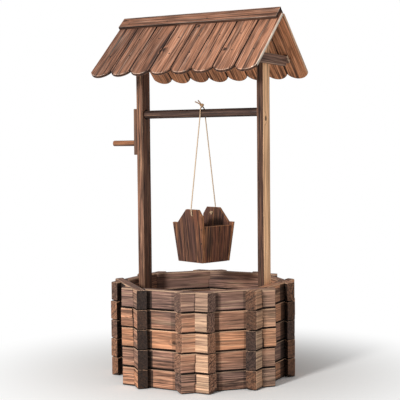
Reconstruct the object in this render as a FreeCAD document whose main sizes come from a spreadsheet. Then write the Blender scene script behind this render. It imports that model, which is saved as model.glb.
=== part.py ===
"""Wishing well planter of burnt fir.

An octagonal tub of cross-lapped logs carries two posts, a pitched roof of scalloped boards, and a
windlass with a crank that winds up a small square bucket on two legs of jute rope.

The origin is the centre of the tub on the ground. +Z is up, X runs along the windlass with the crank at
-X, and -Y is the front. All lengths are in millimetres and all angles in degrees.
"""
import FreeCAD, Part
import math
import os
import re

import Sketcher

Vector = FreeCAD.Vector

# The driving dimensions: alias, value, what it measures.
DRIVING = [
    # tub
    ("courses", 5, "courses of logs in the tub"),
    ("log_height", 60, "height of a log, and of one course"),
    ("log_thickness", 30, "thickness of a log across the wall"),
    ("log_overhang", 54, "length of a log past the middle of its lap, along its middle line"),
    ("end_slant", 22.5, "slant of a log's ends, which leaves its outer face shorter than its inner face"),
    ("log_chamfer", 2.5, "worn edge of a log"),
    ("wall_apothem", 240, "distance from the tub's axis to the middle of a wall"),
    ("lap_play", 0.4, "play of a log in the notch of the log it crosses"),
    # floor
    ("bearer_width", 24, "width of a floor bearer"),
    ("bearer_height", 30, "height of a floor bearer"),
    ("bearer_offset", 80, "distance from the middle bearer to the middle of an outer one"),
    ("slat_count", 6, "floor slats"),
    ("slat_width", 60, "width of a floor slat"),
    ("slat_gap", 6, "drainage gap between two slats"),
    ("slat_thickness", 10, "thickness of a floor slat"),
    ("floor_play", 2, "play between the floor slats and the walls"),
    # posts
    ("post_thickness", 22, "thickness of a post, along the windlass"),
    ("post_width", 50, "width of a post, front to back"),
    ("tie_thickness", 18, "thickness of a gable tie"),
    ("tie_height", 30, "height of a gable tie"),
    ("tie_drop", 142.4, "distance from the gable line down to the underside of a gable tie"),
    ("tie_half_length", 116, "half the length of a gable tie, front to back"),
    # roof
    ("gable_height", 1118.4, "height at which the undersides of the two slopes meet"),
    ("roof_pitch", 41, "pitch of the roof"),
    ("board_count", 8, "roof boards on a slope"),
    ("board_pitch", 71, "distance between the middles of two roof boards"),
    ("board_gap", 1.6, "gap between two roof boards"),
    ("board_thickness", 10, "thickness of a roof board"),
    ("board_length", 254, "length of a roof board to the corners of its scallop"),
    ("scallop_depth", 21, "depth of the rounded end of a roof board"),
    ("ridge_play", 0.5, "distance from the gable line to the top of a roof board"),
    ("cap_thickness", 10, "thickness of a ridge cap board"),
    ("front_cap_width", 50, "width of the front ridge cap, which laps over the back one"),
    ("back_cap_width", 34, "width of the back ridge cap"),
    ("cap_play", 0.2, "play between the two ridge caps"),
    ("cap_inset", 9, "distance from the right gable back to the end of the ridge caps"),
    ("batten_width", 28, "width of a roof batten"),
    ("batten_thickness", 10, "thickness of a roof batten"),
    ("upper_batten_half_length", 199, "half the length of an upper batten, which fits between the posts"),
    ("lower_batten_half_length", 243, "half the length of a lower batten"),
    ("upper_batten", 95, "distance down the slope to the middle of the upper batten"),
    ("lower_batten", 178, "distance down the slope to the middle of the lower batten"),
    # windlass
    ("bar_height", 829.5, "height of the windlass bar's axis"),
    ("bar_radius", 13.5, "radius of the windlass bar"),
    ("bar_play", 0.5, "radial play of the bar in the posts"),
    ("bar_end_play", 1, "play at the end of the bar in its blind hole"),
    ("bearing_depth", 14, "depth of the blind hole in the right post"),
    ("crank_gap", 3, "gap between the left post and the crank arm"),
    ("arm_thickness", 12, "thickness of the crank arm"),
    ("arm_width", 38, "width of the crank arm"),
    ("arm_above", 19, "length of the crank arm above the bar's axis"),
    ("arm_below", 130, "length of the crank arm below the bar's axis"),
    ("crank_throw", 92, "distance from the bar's axis to the handle's axis"),
    ("handle_radius", 9.5, "radius of the crank handle"),
    ("handle_length", 88, "length of the crank handle"),
    ("turned_chamfer", 1.5, "chamfer on the ends of the bar and the handle"),
    # bucket
    ("bucket_offset", 4, "distance of the bucket's axis towards +X from the middle of the bar"),
    ("bucket_yaw", -20, "turn of the bucket about its axis, seen from above"),
    ("rim_height", 486, "height of the bucket's rim"),
    ("rim_half_width", 70, "half the outer width of the bucket at its rim"),
    ("bucket_lean", 5.6, "outward lean of the bucket's panels"),
    ("bucket_depth", 125, "length of a bucket panel from its rim to its lower edge"),
    ("panel_thickness", 9, "thickness of a bucket panel"),
    ("panel_play", 0.2, "play between two bucket panels"),
    ("side_drop", 10, "distance from the rim down to the top of a side panel"),
    ("ear_height", 43, "height of an ear above the rim"),
    ("ear_left", -2, "left corner of an ear's top, from the middle of its panel"),
    ("ear_right", 56, "right corner of an ear's top, from the middle of its panel"),
    ("shoulder_left", -47, "foot of an ear's left slope, from the middle of its panel"),
    ("shoulder_right_height", 19, "height above the rim at which the right slope meets the panel's edge"),
    ("ear_hole_offset", 27, "distance of the rope's hole from the middle of the panel"),
    ("ear_hole_height", 24, "height of the rope's hole above the rim"),
    ("ear_hole_radius", 3.5, "radius of the rope's hole"),
    # rope
    ("rope_radius", 2, "radius of the jute rope"),
    ("rope_gap", 0.3, "gap between the rope and what it lies against"),
    ("ear_bend_radius", 4.5, "radius of the rope's bend into the ear"),
    ("ear_knot_radius", 5, "radius of the stopper knot inside an ear"),
    ("knot_length", 14, "length of the knot over the bar"),
    ("knot_radius", 5, "radius of the knot over the bar"),
    ("knot_rise", 25, "height of the knot's middle above the bar's axis"),
    # fasteners
    ("screw_radius", 2, "radius of a wood screw"),
    ("screw_head_radius", 4, "radius of a wood screw's head"),
    ("screw_length", 38, "length of a wood screw"),
    ("nail_radius", 1, "radius of a nail"),
    ("nail_head_radius", 2.4, "radius of a nail's head"),
    ("nail_head_height", 0.6, "height of a nail's head above the board"),
    ("nail_length", 18, "length of a nail"),
    ("panel_nail_length", 22, "length of a bucket nail"),
]

# The wall of the tub is an octagon, so a corner turns by 45 degrees.
SIDES = 8
TURN = 360 / SIDES
LOGS_IN_A_GROUP = SIDES // 2

# Derived places that several pieces share.
INNER_FACE = "(wall_apothem - log_thickness / 2)"
POST_INNER_FACE = f"({INNER_FACE} - post_thickness)"
TIE_OUTER_FACE = f"({INNER_FACE} + tie_thickness)"
TIE_BOTTOM = "(gable_height - tie_drop)"
ARM_INNER_FACE = f"({INNER_FACE} + crank_gap)"
ARM_OUTER_FACE = f"({ARM_INNER_FACE} + arm_thickness)"
FLOOR_TOP = "(bearer_height + slat_thickness)"
CAP_TOP = "(board_thickness + cap_thickness)"
PANEL_CLEAR = "(panel_thickness / cos(bucket_lean))"

doc = FreeCAD.newDocument("wishing_well_planter")
sheet = doc.addObject("Spreadsheet::Sheet", "sizes")
for row, (alias, value, meaning) in enumerate(DRIVING, start=1):
    sheet.set(f"A{row}", meaning)
    sheet.set(f"B{row}", str(value))
    sheet.setAlias(f"B{row}", alias)
doc.recompute()
size = {alias: float(sheet.get(alias)) for alias, value, meaning in DRIVING}
ALIAS = re.compile(r"\b(" + "|".join(sorted(size, key=len, reverse=True)) + r")\b")

nodes = {}


def formula(text):
    """A formula over the driving dimensions, in the form that the document reads."""
    return ALIAS.sub(r"sizes.\1", str(text))


def bind(feature, **properties):
    """Bind properties of a feature to formulas over the driving dimensions."""
    for name, text in properties.items():
        feature.setExpression(name, formula(text))


def place(feature, *moves):
    """Place a feature by moves, each a position, an axis and an angle, the outermost first."""
    steps = [f"placement(vector({at}); rotation(vector({axis}); {angle}))" for at, axis, angle in moves]
    feature.setExpression("Placement", formula(" * ".join(steps)))


def shift(at):
    """A move without a turn."""
    return (at, "0; 0; 1", "0")


def turn(axis, angle):
    """A turn about an axis through the origin."""
    return ("0; 0; 0", axis, angle)


def new_body(name):
    """A body that becomes the sub-part of this name."""
    body = doc.addObject("PartDesign::Body", name)
    body.Label = name
    nodes[name] = body
    return body


def origin_feature(body, role):
    """The origin plane or axis of a body."""
    return [item for item in body.Origin.OriginFeatures if item.Role == role][0]


def new_sketch(body, name, role, height=None):
    """An empty sketch on an origin plane of the body, raised by a height where one is given."""
    sketch = body.newObject("Sketcher::SketchObject", name)
    sketch.AttachmentSupport = (origin_feature(body, role), "")
    sketch.MapMode = "FlatFace"
    if height is not None:
        sketch.setExpression("AttachmentOffset.Base.z", formula(height))
    return sketch


def pin(sketch, element, end, across, along, near=(1.0, 1.0)):
    """Fix one point of a sketch at two formulas, starting near a known place on an outline with an arc."""
    for kind, text, start in (("DistanceX", across, near[0]), ("DistanceY", along, near[1])):
        index = sketch.addConstraint(Sketcher.Constraint(kind, -1, 1, element, end, start))
        sketch.setExpression(f"Constraints[{index}]", formula(text))


def add_outline(sketch, corners):
    """A closed outline of straight lines through corners given as pairs of formulas."""
    count = len(corners)
    first = sketch.GeometryCount
    for index in range(count):
        start, end = (2 * math.pi * step / count for step in (index, index + 1))
        sketch.addGeometry(Part.LineSegment(
            Vector(10 * math.cos(start), 10 * math.sin(start), 0),
            Vector(10 * math.cos(end), 10 * math.sin(end), 0)), False)
    for index in range(count):
        following = first + (index + 1) % count
        sketch.addConstraint(Sketcher.Constraint("Coincident", first + index, 2, following, 1))
    for index, (across, along) in enumerate(corners):
        pin(sketch, first + index, 1, across, along)


def add_circle(sketch, across, along, radius):
    """A circle whose centre and radius are formulas."""
    circle = sketch.addGeometry(Part.Circle(Vector(0, 0, 0), Vector(0, 0, 1), 5), False)
    pin(sketch, circle, 3, across, along)
    index = sketch.addConstraint(Sketcher.Constraint("Radius", circle, 5.0))
    sketch.setExpression(f"Constraints[{index}]", formula(radius))


def add_pad(body, sketch, length, midplane=False, reverse=False):
    """A pad of the sketch, which leaves along the sketch's normal unless it is reversed."""
    pad = body.newObject("PartDesign::Pad", f"{body.Name}_pad")
    pad.Profile = sketch
    pad.Midplane = midplane
    pad.Reversed = reverse
    bind(pad, Length=length)
    return pad


def add_pocket(body, sketch, length, reverse=False):
    """A pocket of the sketch, which cuts against the sketch's normal unless it is reversed."""
    pocket = body.newObject("PartDesign::Pocket", f"{sketch.Name}_pocket")
    pocket.Profile = sketch
    pocket.Reversed = reverse
    bind(pocket, Length=length)
    return pocket


def rectangle(low_across, high_across, low_along, high_along):
    """The four corners of a rectangle, given by formulas."""
    return [(low_across, low_along), (high_across, low_along),
            (high_across, high_along), (low_across, high_along)]


def group(name, members):
    """A sub-part made of several separate solids."""
    compound = doc.addObject("Part::Compound", name)
    compound.Label = name
    compound.Links = members
    nodes[name] = compound
    return compound


def log_group(course, notch_on_top):
    """Every other log of one course, half-lapped into the logs that they cross."""
    name = f"course_{course + 1}_{'lower' if notch_on_top else 'upper'}_logs"
    body = new_body(name)
    low = "wall_apothem - log_thickness / 2"
    high = "wall_apothem + log_thickness / 2"
    section = new_sketch(body, f"{name}_section", "YZ_Plane")
    add_outline(section, [
        (f"{low} + log_chamfer", "0"),
        (f"{high} - log_chamfer", "0"),
        (high, "log_chamfer"),
        (high, "log_height - log_chamfer"),
        (f"{high} - log_chamfer", "log_height"),
        (f"{low} + log_chamfer", "log_height"),
        (low, "log_height - log_chamfer"),
        (low, "log_chamfer"),
    ])
    half_side = f"wall_apothem * tan({TURN / 2})"
    half_log = f"{half_side} + log_overhang"
    reach = "log_thickness"
    log = add_pad(body, section, f"2 * ({half_log} + log_thickness / 2 * tan(end_slant))", midplane=True)
    slants = new_sketch(body, f"{name}_slants", "XY_Plane", "0")
    for side in (1, -1):
        add_outline(slants, [
            (f"{side} * ({half_log} - {reach} * tan(end_slant))", f"wall_apothem + {reach}"),
            (f"{side} * ({half_log} + {reach} * tan(end_slant))", f"wall_apothem - {reach}"),
            (f"{side} * ({half_log} + 2 * {reach})", f"wall_apothem - {reach}"),
            (f"{side} * ({half_log} + 2 * {reach})", f"wall_apothem + {reach}"),
        ])
    ends = add_pocket(body, slants, "log_height", reverse=True)
    notches = new_sketch(body, f"{name}_notches", "XY_Plane", "log_height / 2")
    half_notch = f"(log_thickness / 2 + lap_play) / sin({TURN})"
    for side in (1, -1):
        add_outline(notches, [
            (f"{side} * ({half_side} - {half_notch} - {reach} / tan({TURN}))", f"wall_apothem + {reach}"),
            (f"{side} * ({half_side} + {half_notch} - {reach} / tan({TURN}))", f"wall_apothem + {reach}"),
            (f"{side} * ({half_side} + {half_notch} + {reach} / tan({TURN}))", f"wall_apothem - {reach}"),
            (f"{side} * ({half_side} - {half_notch} + {reach} / tan({TURN}))", f"wall_apothem - {reach}"),
        ])
    laps = add_pocket(body, notches, "log_height", reverse=notch_on_top)
    doc.recompute()
    ring = body.newObject("PartDesign::PolarPattern", f"{name}_ring")
    ring.Originals = [log, ends, laps]
    ring.Axis = (origin_feature(body, "Z_Axis"), [""])
    ring.Angle = 360
    ring.Occurrences = LOGS_IN_A_GROUP
    body.Tip = ring
    angle = "0" if notch_on_top else str(TURN)
    place(body, (f"0; 0; {course} * log_height", "0; 0; 1", angle))


def floor_bearers():
    """The bearers on the ground: two cut to fit between the left and right walls, one between the posts."""
    members = []
    for side, reach in ((-1, INNER_FACE), (0, POST_INNER_FACE), (1, INNER_FACE)):
        bearer = doc.addObject("Part::Box", "bearer")
        bind(bearer, Length=f"2 * {reach}", Width="bearer_width", Height="bearer_height")
        place(bearer, shift(f"-{reach}; {side} * bearer_offset - bearer_width / 2; 0"))
        members.append(bearer)
    group("floor_bearers", members)


def slat_middle(index):
    """Where the middle of a floor slat lies along X."""
    return f"({index} - (slat_count - 1) / 2) * (slat_width + slat_gap)"


def floor_slats():
    """The floor slats, cut to the octagon inside the walls."""
    members = []
    for index in range(int(size["slat_count"])):
        plank = doc.addObject("Part::Box", "slat_plank")
        bind(plank, Length="slat_width", Width=f"2 * {INNER_FACE}", Height="slat_thickness")
        place(plank, shift(f"{slat_middle(index)} - slat_width / 2; -{INNER_FACE}; bearer_height"))
        well = doc.addObject("Part::Prism", "slat_trim")
        well.Polygon = SIDES
        bind(well, Circumradius=f"({INNER_FACE} - floor_play) / cos({TURN / 2})", Height=FLOOR_TOP)
        place(well, turn("0; 0; 1", str(TURN / 2)))
        slat = doc.addObject("Part::Common", "slat")
        slat.Base = plank
        slat.Tool = well
        members.append(slat)
    group("floor_slats", members)


def post(name, side):
    """A post with the hole for the windlass bar: right through on the crank's side, blind on the other."""
    body = new_body(name)
    outline = new_sketch(body, f"{name}_outline", "YZ_Plane")
    shoulder = "gable_height - post_width / 2 * tan(roof_pitch)"
    add_outline(outline, [
        ("-post_width / 2", "0"),
        ("post_width / 2", "0"),
        ("post_width / 2", shoulder),
        ("0", "gable_height"),
        ("-post_width / 2", shoulder),
    ])
    add_pad(body, outline, "post_thickness")
    hole = new_sketch(body, f"{name}_hole", "YZ_Plane")
    add_circle(hole, "0", "bar_height", "bar_radius + bar_play")
    depth = "2 * post_thickness" if side < 0 else "bearing_depth"
    add_pocket(body, hole, depth, reverse=True)
    place(body, shift(f"{f'-{INNER_FACE}' if side < 0 else POST_INNER_FACE}; 0; 0"))


def gable_tie(name, side):
    """The board on the outside of a post that holds the two slopes together."""
    tie = doc.addObject("Part::Box", name)
    tie.Label = name
    bind(tie, Length="tie_thickness", Width="2 * tie_half_length", Height="tie_height")
    place(tie, shift(f"{f'-{TIE_OUTER_FACE}' if side < 0 else INNER_FACE}; -tie_half_length; {TIE_BOTTOM}"))
    nodes[name] = tie


# A slope's own frame has X along the ridge, Y down the slope and Z into the roof. Its origin is the middle
# of the gable line, and the back slope is the front one turned by half a turn.
SLOPE = [("0; 0; gable_height", "1; 0; 0", "180 + roof_pitch")]
SLOPES = {"front": SLOPE, "back": [turn("0; 0; 1", "180")] + SLOPE}


def board_middle(index):
    """Where the middle of a roof board lies along the ridge."""
    return f"({index} - (board_count - 1) / 2) * board_pitch"


def roof_board(slope, index):
    """A roof board with a rounded lower end."""
    body = new_body(f"{slope}_roof_board_{index + 1}")
    half = "(board_pitch - board_gap) / 2"
    half_width = (size["board_pitch"] - size["board_gap"]) / 2
    depth = size["scallop_depth"]
    radius = (half_width ** 2 + depth ** 2) / (2 * depth)
    rise = math.atan2(radius - depth, half_width)
    centre = size["board_length"] + depth - radius
    sketch = new_sketch(body, f"{body.Name}_outline", "XY_Plane")
    corners = [Vector(-half_width, size["ridge_play"], 0), Vector(half_width, size["ridge_play"], 0),
               Vector(half_width, size["board_length"], 0), Vector(-half_width, size["board_length"], 0)]
    top = sketch.addGeometry(Part.LineSegment(corners[0], corners[1]), False)
    right = sketch.addGeometry(Part.LineSegment(corners[1], corners[2]), False)
    end = sketch.addGeometry(Part.ArcOfCircle(
        Part.Circle(Vector(0, centre, 0), Vector(0, 0, 1), radius), rise, math.pi - rise), False)
    left = sketch.addGeometry(Part.LineSegment(corners[3], corners[0]), False)
    for first, second in ((top, right), (right, end), (end, left), (left, top)):
        sketch.addConstraint(Sketcher.Constraint("Coincident", first, 2, second, 1))
    places = ((top, f"-{half}", "ridge_play"), (right, half, "ridge_play"),
              (end, half, "board_length"), (left, f"-{half}", "board_length"))
    for (line, across, along), corner in zip(places, corners):
        pin(sketch, line, 1, across, along, near=(corner.x, corner.y))
    index_of_centre = sketch.addConstraint(Sketcher.Constraint("DistanceY", -1, 1, end, 3, centre))
    sketch.setExpression(f"Constraints[{index_of_centre}]", formula(
        f"board_length + scallop_depth - (({half}) ^ 2 + scallop_depth ^ 2) / (2 * scallop_depth)"))
    add_pad(body, sketch, "board_thickness", reverse=True)
    place(body, *SLOPES[slope], shift(f"{board_middle(index)}; 0; 0"))


# The front cap laps over the edge of the back cap, which butts against its underside.
CAP_REACH = {
    "front": f"-({CAP_TOP} - board_thickness * cos(2 * roof_pitch)) / sin(2 * roof_pitch)",
    "back": f"({CAP_TOP} * cos(2 * roof_pitch) - board_thickness) / sin(2 * roof_pitch) + cap_play",
}


def ridge_cap(slope):
    """The board that covers the upper ends of one slope's boards."""
    body = new_body(f"{slope}_ridge_cap")
    sketch = new_sketch(body, f"{slope}_cap_outline", "XY_Plane")
    half = "(board_count * board_pitch - board_gap) / 2"
    upper = CAP_REACH[slope]
    ends = (f"-{half}", f"{half} - cap_inset")
    if slope == "back":
        ends = (f"cap_inset - {half}", half)
    add_outline(sketch, rectangle(*ends, upper, f"{upper} + {slope}_cap_width"))
    add_pad(body, sketch, "cap_thickness", reverse=True)
    place(body, *SLOPES[slope], shift("0; 0; -board_thickness"))


def roof_batten(slope, row):
    """A batten under one slope, to which its boards are nailed."""
    body = new_body(f"{slope}_{row}_batten")
    sketch = new_sketch(body, f"{body.Name}_outline", "XY_Plane")
    reach = f"{row}_batten_half_length"
    low, high = (f"{row}_batten {sign} batten_width / 2" for sign in "-+")
    add_outline(sketch, rectangle(f"-{reach}", reach, low, high))
    add_pad(body, sketch, "batten_thickness")
    place(body, *SLOPES[slope])


def turned_body(name, profile):
    """A round piece: a profile of pairs, along the axis and away from it, turned about the axis."""
    body = new_body(name)
    sketch = new_sketch(body, f"{name}_profile", "XY_Plane")
    add_outline(sketch, profile)
    revolution = body.newObject("PartDesign::Revolution", f"{name}_turning")
    revolution.Profile = sketch
    revolution.ReferenceAxis = (sketch, ["H_Axis"])
    revolution.Angle = 360
    return body


def rounded_rod(length, radius):
    """The profile of a rod with chamfered ends."""
    return [("0", "0"), ("0", f"{radius} - turned_chamfer"), ("turned_chamfer", radius),
            (f"{length} - turned_chamfer", radius), (length, f"{radius} - turned_chamfer"), (length, "0")]


def windlass():
    """The bar across the posts, the crank arm on its left end and the handle on the arm."""
    length = f"({ARM_INNER_FACE} + {POST_INNER_FACE} + bearing_depth - bar_end_play)"
    bar = turned_body("windlass_bar", rounded_rod(length, "bar_radius"))
    place(bar, shift(f"-{ARM_INNER_FACE}; 0; bar_height"))
    arm = new_body("crank_arm")
    outline = new_sketch(arm, "crank_arm_outline", "YZ_Plane")
    add_outline(outline, rectangle("-arm_width / 2", "arm_width / 2", "-arm_below", "arm_above"))
    add_pad(arm, outline, "arm_thickness")
    place(arm, shift(f"-{ARM_OUTER_FACE}; 0; bar_height"))
    handle = turned_body("crank_handle", rounded_rod("handle_length", "handle_radius"))
    place(handle, (f"-{ARM_OUTER_FACE}; 0; bar_height - crank_throw", "0; 0; 1", "180"))


# A bucket panel's own frame has X to the right as seen from outside, Y up the leaning panel and Z outwards.
# Its origin is the middle of the panel's outer face at the rim.
def panel_moves(quarter_turns):
    """The moves that bring a panel to its side of the bucket, counted from the front."""
    return [("bucket_offset; 0; rim_height", "0; 0; 1", f"bucket_yaw + {90 * quarter_turns}"),
            ("0; -rim_half_width; 0", "1; 0; 0", "90 + bucket_lean")]


def ear_panel(name, quarter_turns):
    """A panel with a raised ear, which is cut away to the left, and a hole for the rope."""
    body = new_body(name)
    sketch = new_sketch(body, f"{name}_outline", "XY_Plane")
    lower = "rim_half_width - bucket_depth * sin(bucket_lean)"
    add_outline(sketch, [
        (f"-({lower})", "-bucket_depth"),
        (lower, "-bucket_depth"),
        ("rim_half_width + shoulder_right_height * sin(bucket_lean)", "shoulder_right_height"),
        ("ear_right", "ear_height"),
        ("ear_left", "ear_height"),
        ("shoulder_left", "0"),
        ("-rim_half_width", "0"),
    ])
    add_pad(body, sketch, "panel_thickness", reverse=True)
    hole = new_sketch(body, f"{name}_hole", "XY_Plane")
    add_circle(hole, "ear_hole_offset", "ear_hole_height", "ear_hole_radius")
    add_pocket(body, hole, "2 * panel_thickness")
    place(body, *panel_moves(quarter_turns))


def side_panel(name, quarter_turns):
    """A plain panel, which fits between the two ear panels."""
    body = new_body(name)
    sketch = new_sketch(body, f"{name}_outline", "XY_Plane")
    at_rim = f"rim_half_width - {PANEL_CLEAR} - panel_play"
    upper, lower = (f"({at_rim} - {down} * sin(bucket_lean))" for down in ("side_drop", "bucket_depth"))
    add_outline(sketch, [
        (f"-{lower}", "-bucket_depth"),
        (lower, "-bucket_depth"),
        (upper, "-side_drop"),
        (f"-{upper}", "-side_drop"),
    ])
    add_pad(body, sketch, "panel_thickness", reverse=True)
    place(body, *panel_moves(quarter_turns))


def bucket_bottom():
    """The square bottom board between the four panels, wider at its top than below."""
    board = doc.addObject("Part::Wedge", "bucket_bottom")
    board.Label = "bucket_bottom"
    lower = f"rim_half_width - bucket_depth * sin(bucket_lean) - {PANEL_CLEAR} - panel_play"
    upper = f"{lower} + panel_thickness * tan(bucket_lean)"
    bind(board, Ymin="0", Ymax="panel_thickness",
         Xmin=f"-({lower})", Xmax=lower, Zmin=f"-({lower})", Zmax=lower,
         X2min=f"-({upper})", X2max=upper, Z2min=f"-({upper})", Z2max=upper)
    place(board, ("bucket_offset; 0; rim_height - bucket_depth * cos(bucket_lean)", "0; 0; 1", "bucket_yaw"),
          turn("1; 0; 0", "90"))
    nodes["bucket_bottom"] = board


def bar_to_ear(name, ear, side):
    """One taut leg of the rope, from the side of the bar to just above the top of an ear."""
    reach = size["bar_radius"] + size["rope_gap"] + size["rope_radius"]
    top = Vector(size["bucket_offset"], side * reach, size["bar_height"])
    bottom = ear.Placement.multVec(ear_rope_point("above"))
    run = bottom - top
    run.normalize()
    top = top + run * 2 * size["rope_gap"]
    leg = doc.addObject("Part::Feature", name)
    leg.Label = name
    leg.Shape = Part.makeCylinder(size["rope_radius"], (bottom - top).Length, top, run)
    nodes[name] = leg
    print(f"{name}: {(bottom - top).Length:.1f} mm long")


def ear_rope_point(place_name):
    """A point on the rope's line at an ear, in the frame of the ear's panel."""
    out = size["rope_radius"] + size["rope_gap"]
    hole = size["ear_hole_height"]
    inside = -(size["panel_thickness"] + size["rope_gap"] + size["ear_knot_radius"])
    points = {
        "above": (size["ear_height"] + size["rope_radius"] + 3 * size["rope_gap"], out),
        "start": (size["ear_height"] + size["rope_radius"], out),
        "bend": (hole + size["ear_bend_radius"], out),
        "turned": (hole, out - size["ear_bend_radius"]),
        "knot": (hole, inside),
    }
    up, away = points[place_name]
    return Vector(size["ear_hole_offset"], up, away)


def ear_rope(ear):
    """The end of the rope: over the ear, into its hole and round a stopper knot inside."""
    start, bend, turned, knot = (ear_rope_point(name) for name in ("start", "bend", "turned", "knot"))
    radius = size["ear_bend_radius"]
    centre = Vector(bend.x, bend.y, turned.z)
    middle = centre + Vector(0, -radius * math.sin(math.pi / 4), radius * math.sin(math.pi / 4))
    path = Part.Wire([Part.LineSegment(start, bend).toShape(), Part.Arc(bend, middle, turned).toShape(),
                      Part.LineSegment(turned, knot).toShape()])
    ring = Part.Wire(Part.makeCircle(size["rope_radius"], start, Vector(0, -1, 0)))
    tube = path.makePipeShell([ring], True, False)
    end = doc.addObject("Part::Feature", "ear_rope")
    end.Shape = tube.fuse(Part.makeSphere(size["ear_knot_radius"], knot))
    end.Placement = ear.Placement
    return end


def rope_knot():
    """The half loop of rope over the bar, the knot above it and the knot's two loose ends."""
    reach = size["bar_radius"] + size["rope_gap"] + size["rope_radius"]
    axis = Vector(size["bucket_offset"], 0, size["bar_height"])
    loop = doc.addObject("Part::Torus", "rope_loop")
    bind(loop, Radius1="bar_radius + rope_gap + rope_radius", Radius2="rope_radius")
    loop.Angle3 = 180
    place(loop, ("bucket_offset; 0; bar_height", "0; 0; 1", "90"), turn("1; 0; 0", "90"))
    lump = doc.addObject("Part::Ellipsoid", "rope_lump")
    bind(lump, Radius1="knot_radius", Radius2="knot_length / 2", Radius3="knot_radius")
    knot = axis + Vector(0, 0, size["knot_rise"])
    lump.Placement = FreeCAD.Placement(knot, FreeCAD.Rotation(Vector(0, 0, 1), 40))
    tails = []
    rises = [axis + Vector(0, side * reach, reach).multiply(math.sqrt(0.5)) - knot for side in (-1, 1)]
    for end in rises + [Vector(-20, -10, 13), Vector(-10, -6, 18)]:
        tail = doc.addObject("Part::Feature", "rope_tail")
        tail.Shape = Part.makeCylinder(size["rope_radius"], end.Length, knot, end)
        tails.append(tail)
    whole = doc.addObject("Part::MultiFuse", "rope_knot")
    whole.Label = "rope_knot"
    whole.Shapes = [loop, lump] + tails
    nodes["rope_knot"] = whole


def template(name, profile):
    """A fastener that is made once and repeated where it is used. Its head is at the origin."""
    body = turned_body(name, profile)
    del nodes[name]
    return body


def fasteners(name, model, spots):
    """A group of one fastener, repeated at spots given as lists of moves. Each points along its own +X."""
    members = []
    for moves in spots:
        link = doc.addObject("App::Link", f"{name}_link")
        link.LinkedObject = model
        place(link, *moves)
        members.append(link)
    group(name, members)


INTO_SLOPE = turn("0; 1; 0", "-90")


def slope_nails():
    """Where the roof nails go: one per board and batten, and one at each top edge of a post."""
    spots = []
    last = int(size["board_count"]) - 1
    for slope in SLOPES.values():
        for index in range(last + 1):
            for row in ("lower",) if index in (0, last) else ("upper", "lower"):
                at = f"{board_middle(index)}; {row}_batten; -board_thickness"
                spots.append(slope + [shift(at), INTO_SLOPE])
        for side in (-1, 1):
            sunk = "nail_head_height - board_thickness"
            at = f"{side} * ({INNER_FACE} - post_thickness / 4); post_width / 3; {sunk}"
            spots.append(slope + [shift(at), INTO_SLOPE])
    return spots


def cap_nails():
    """Where the nails of the ridge caps go: one over every other roof board."""
    spots = []
    for name, slope in SLOPES.items():
        for index in range(0, int(size["board_count"]), 2):
            middle = f"{CAP_REACH[name]} + {name}_cap_width * 0.7"
            spots.append(slope + [shift(f"{board_middle(index)}; {middle}; -{CAP_TOP}"), INTO_SLOPE])
    return spots


def bucket_nails():
    """Where the bucket's nails go: down the edges of the ear panels, and into the bottom all round."""
    spots = []
    into_panel = turn("0; 1; 0", "90")
    for quarter in (0, 2):
        for side in (-1, 1):
            for down in (0.15, 0.5, 0.85):
                along = f"-bucket_depth * {down}"
                across = f"{side} * (rim_half_width - panel_thickness / 2 + ({along}) * sin(bucket_lean))"
                spots.append(panel_moves(quarter) + [shift(f"{across}; {along}; 0"), into_panel])
    for quarter in range(4):
        for side in (-1, 1):
            at = f"{side} * rim_half_width / 3; -bucket_depth + panel_thickness / 2; 0"
            spots.append(panel_moves(quarter) + [shift(at), into_panel])
    return spots


def all_fasteners():
    """The screws and nails, grouped by what they hold."""
    screw = template("wood_screw", [
        ("0", "0"), ("0", "screw_head_radius"), ("screw_head_radius - screw_radius", "screw_radius"),
        ("screw_length", "screw_radius"), ("screw_length", "0")])
    nail, panel_nail = (template(name, [
        ("-nail_head_height", "0"), ("-nail_head_height", "nail_head_radius"), ("0", "nail_head_radius"),
        ("0", "nail_radius"), (length, "nail_radius"), (length, "0")])
        for name, length in (("nail", "nail_length"), ("panel_nail", "panel_nail_length")))
    outwards = {1: turn("0; 0; 1", "0"), -1: turn("0; 0; 1", "180")}
    fasteners("post_screws", screw, [
        [shift(f"{side} * {POST_INNER_FACE}; 0; ({course} + 0.5) * log_height"), outwards[side]]
        for side in (-1, 1) for course in range(int(size["courses"]))])
    fasteners("tie_screws", screw, [
        [shift(f"{side} * {TIE_OUTER_FACE}; {across} * post_width / 4; {TIE_BOTTOM} + tie_height / 2"),
         outwards[-side]]
        for side in (-1, 1) for across in (-1, 1)])
    fasteners("crank_screws", screw, [
        [shift(f"-{ARM_OUTER_FACE}; 0; bar_height")],
        [shift(f"-{ARM_INNER_FACE}; 0; bar_height - crank_throw"), outwards[-1]]])
    fasteners("floor_nails", nail, [
        [shift(f"{slat_middle(index)}; {side} * bearer_offset; {FLOOR_TOP}"), turn("0; 1; 0", "90")]
        for index in range(int(size["slat_count"])) for side in (-1, 0, 1)])
    fasteners("roof_nails", nail, slope_nails())
    fasteners("cap_nails", nail, cap_nails())
    fasteners("bucket_nails", panel_nail, bucket_nails())


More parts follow.
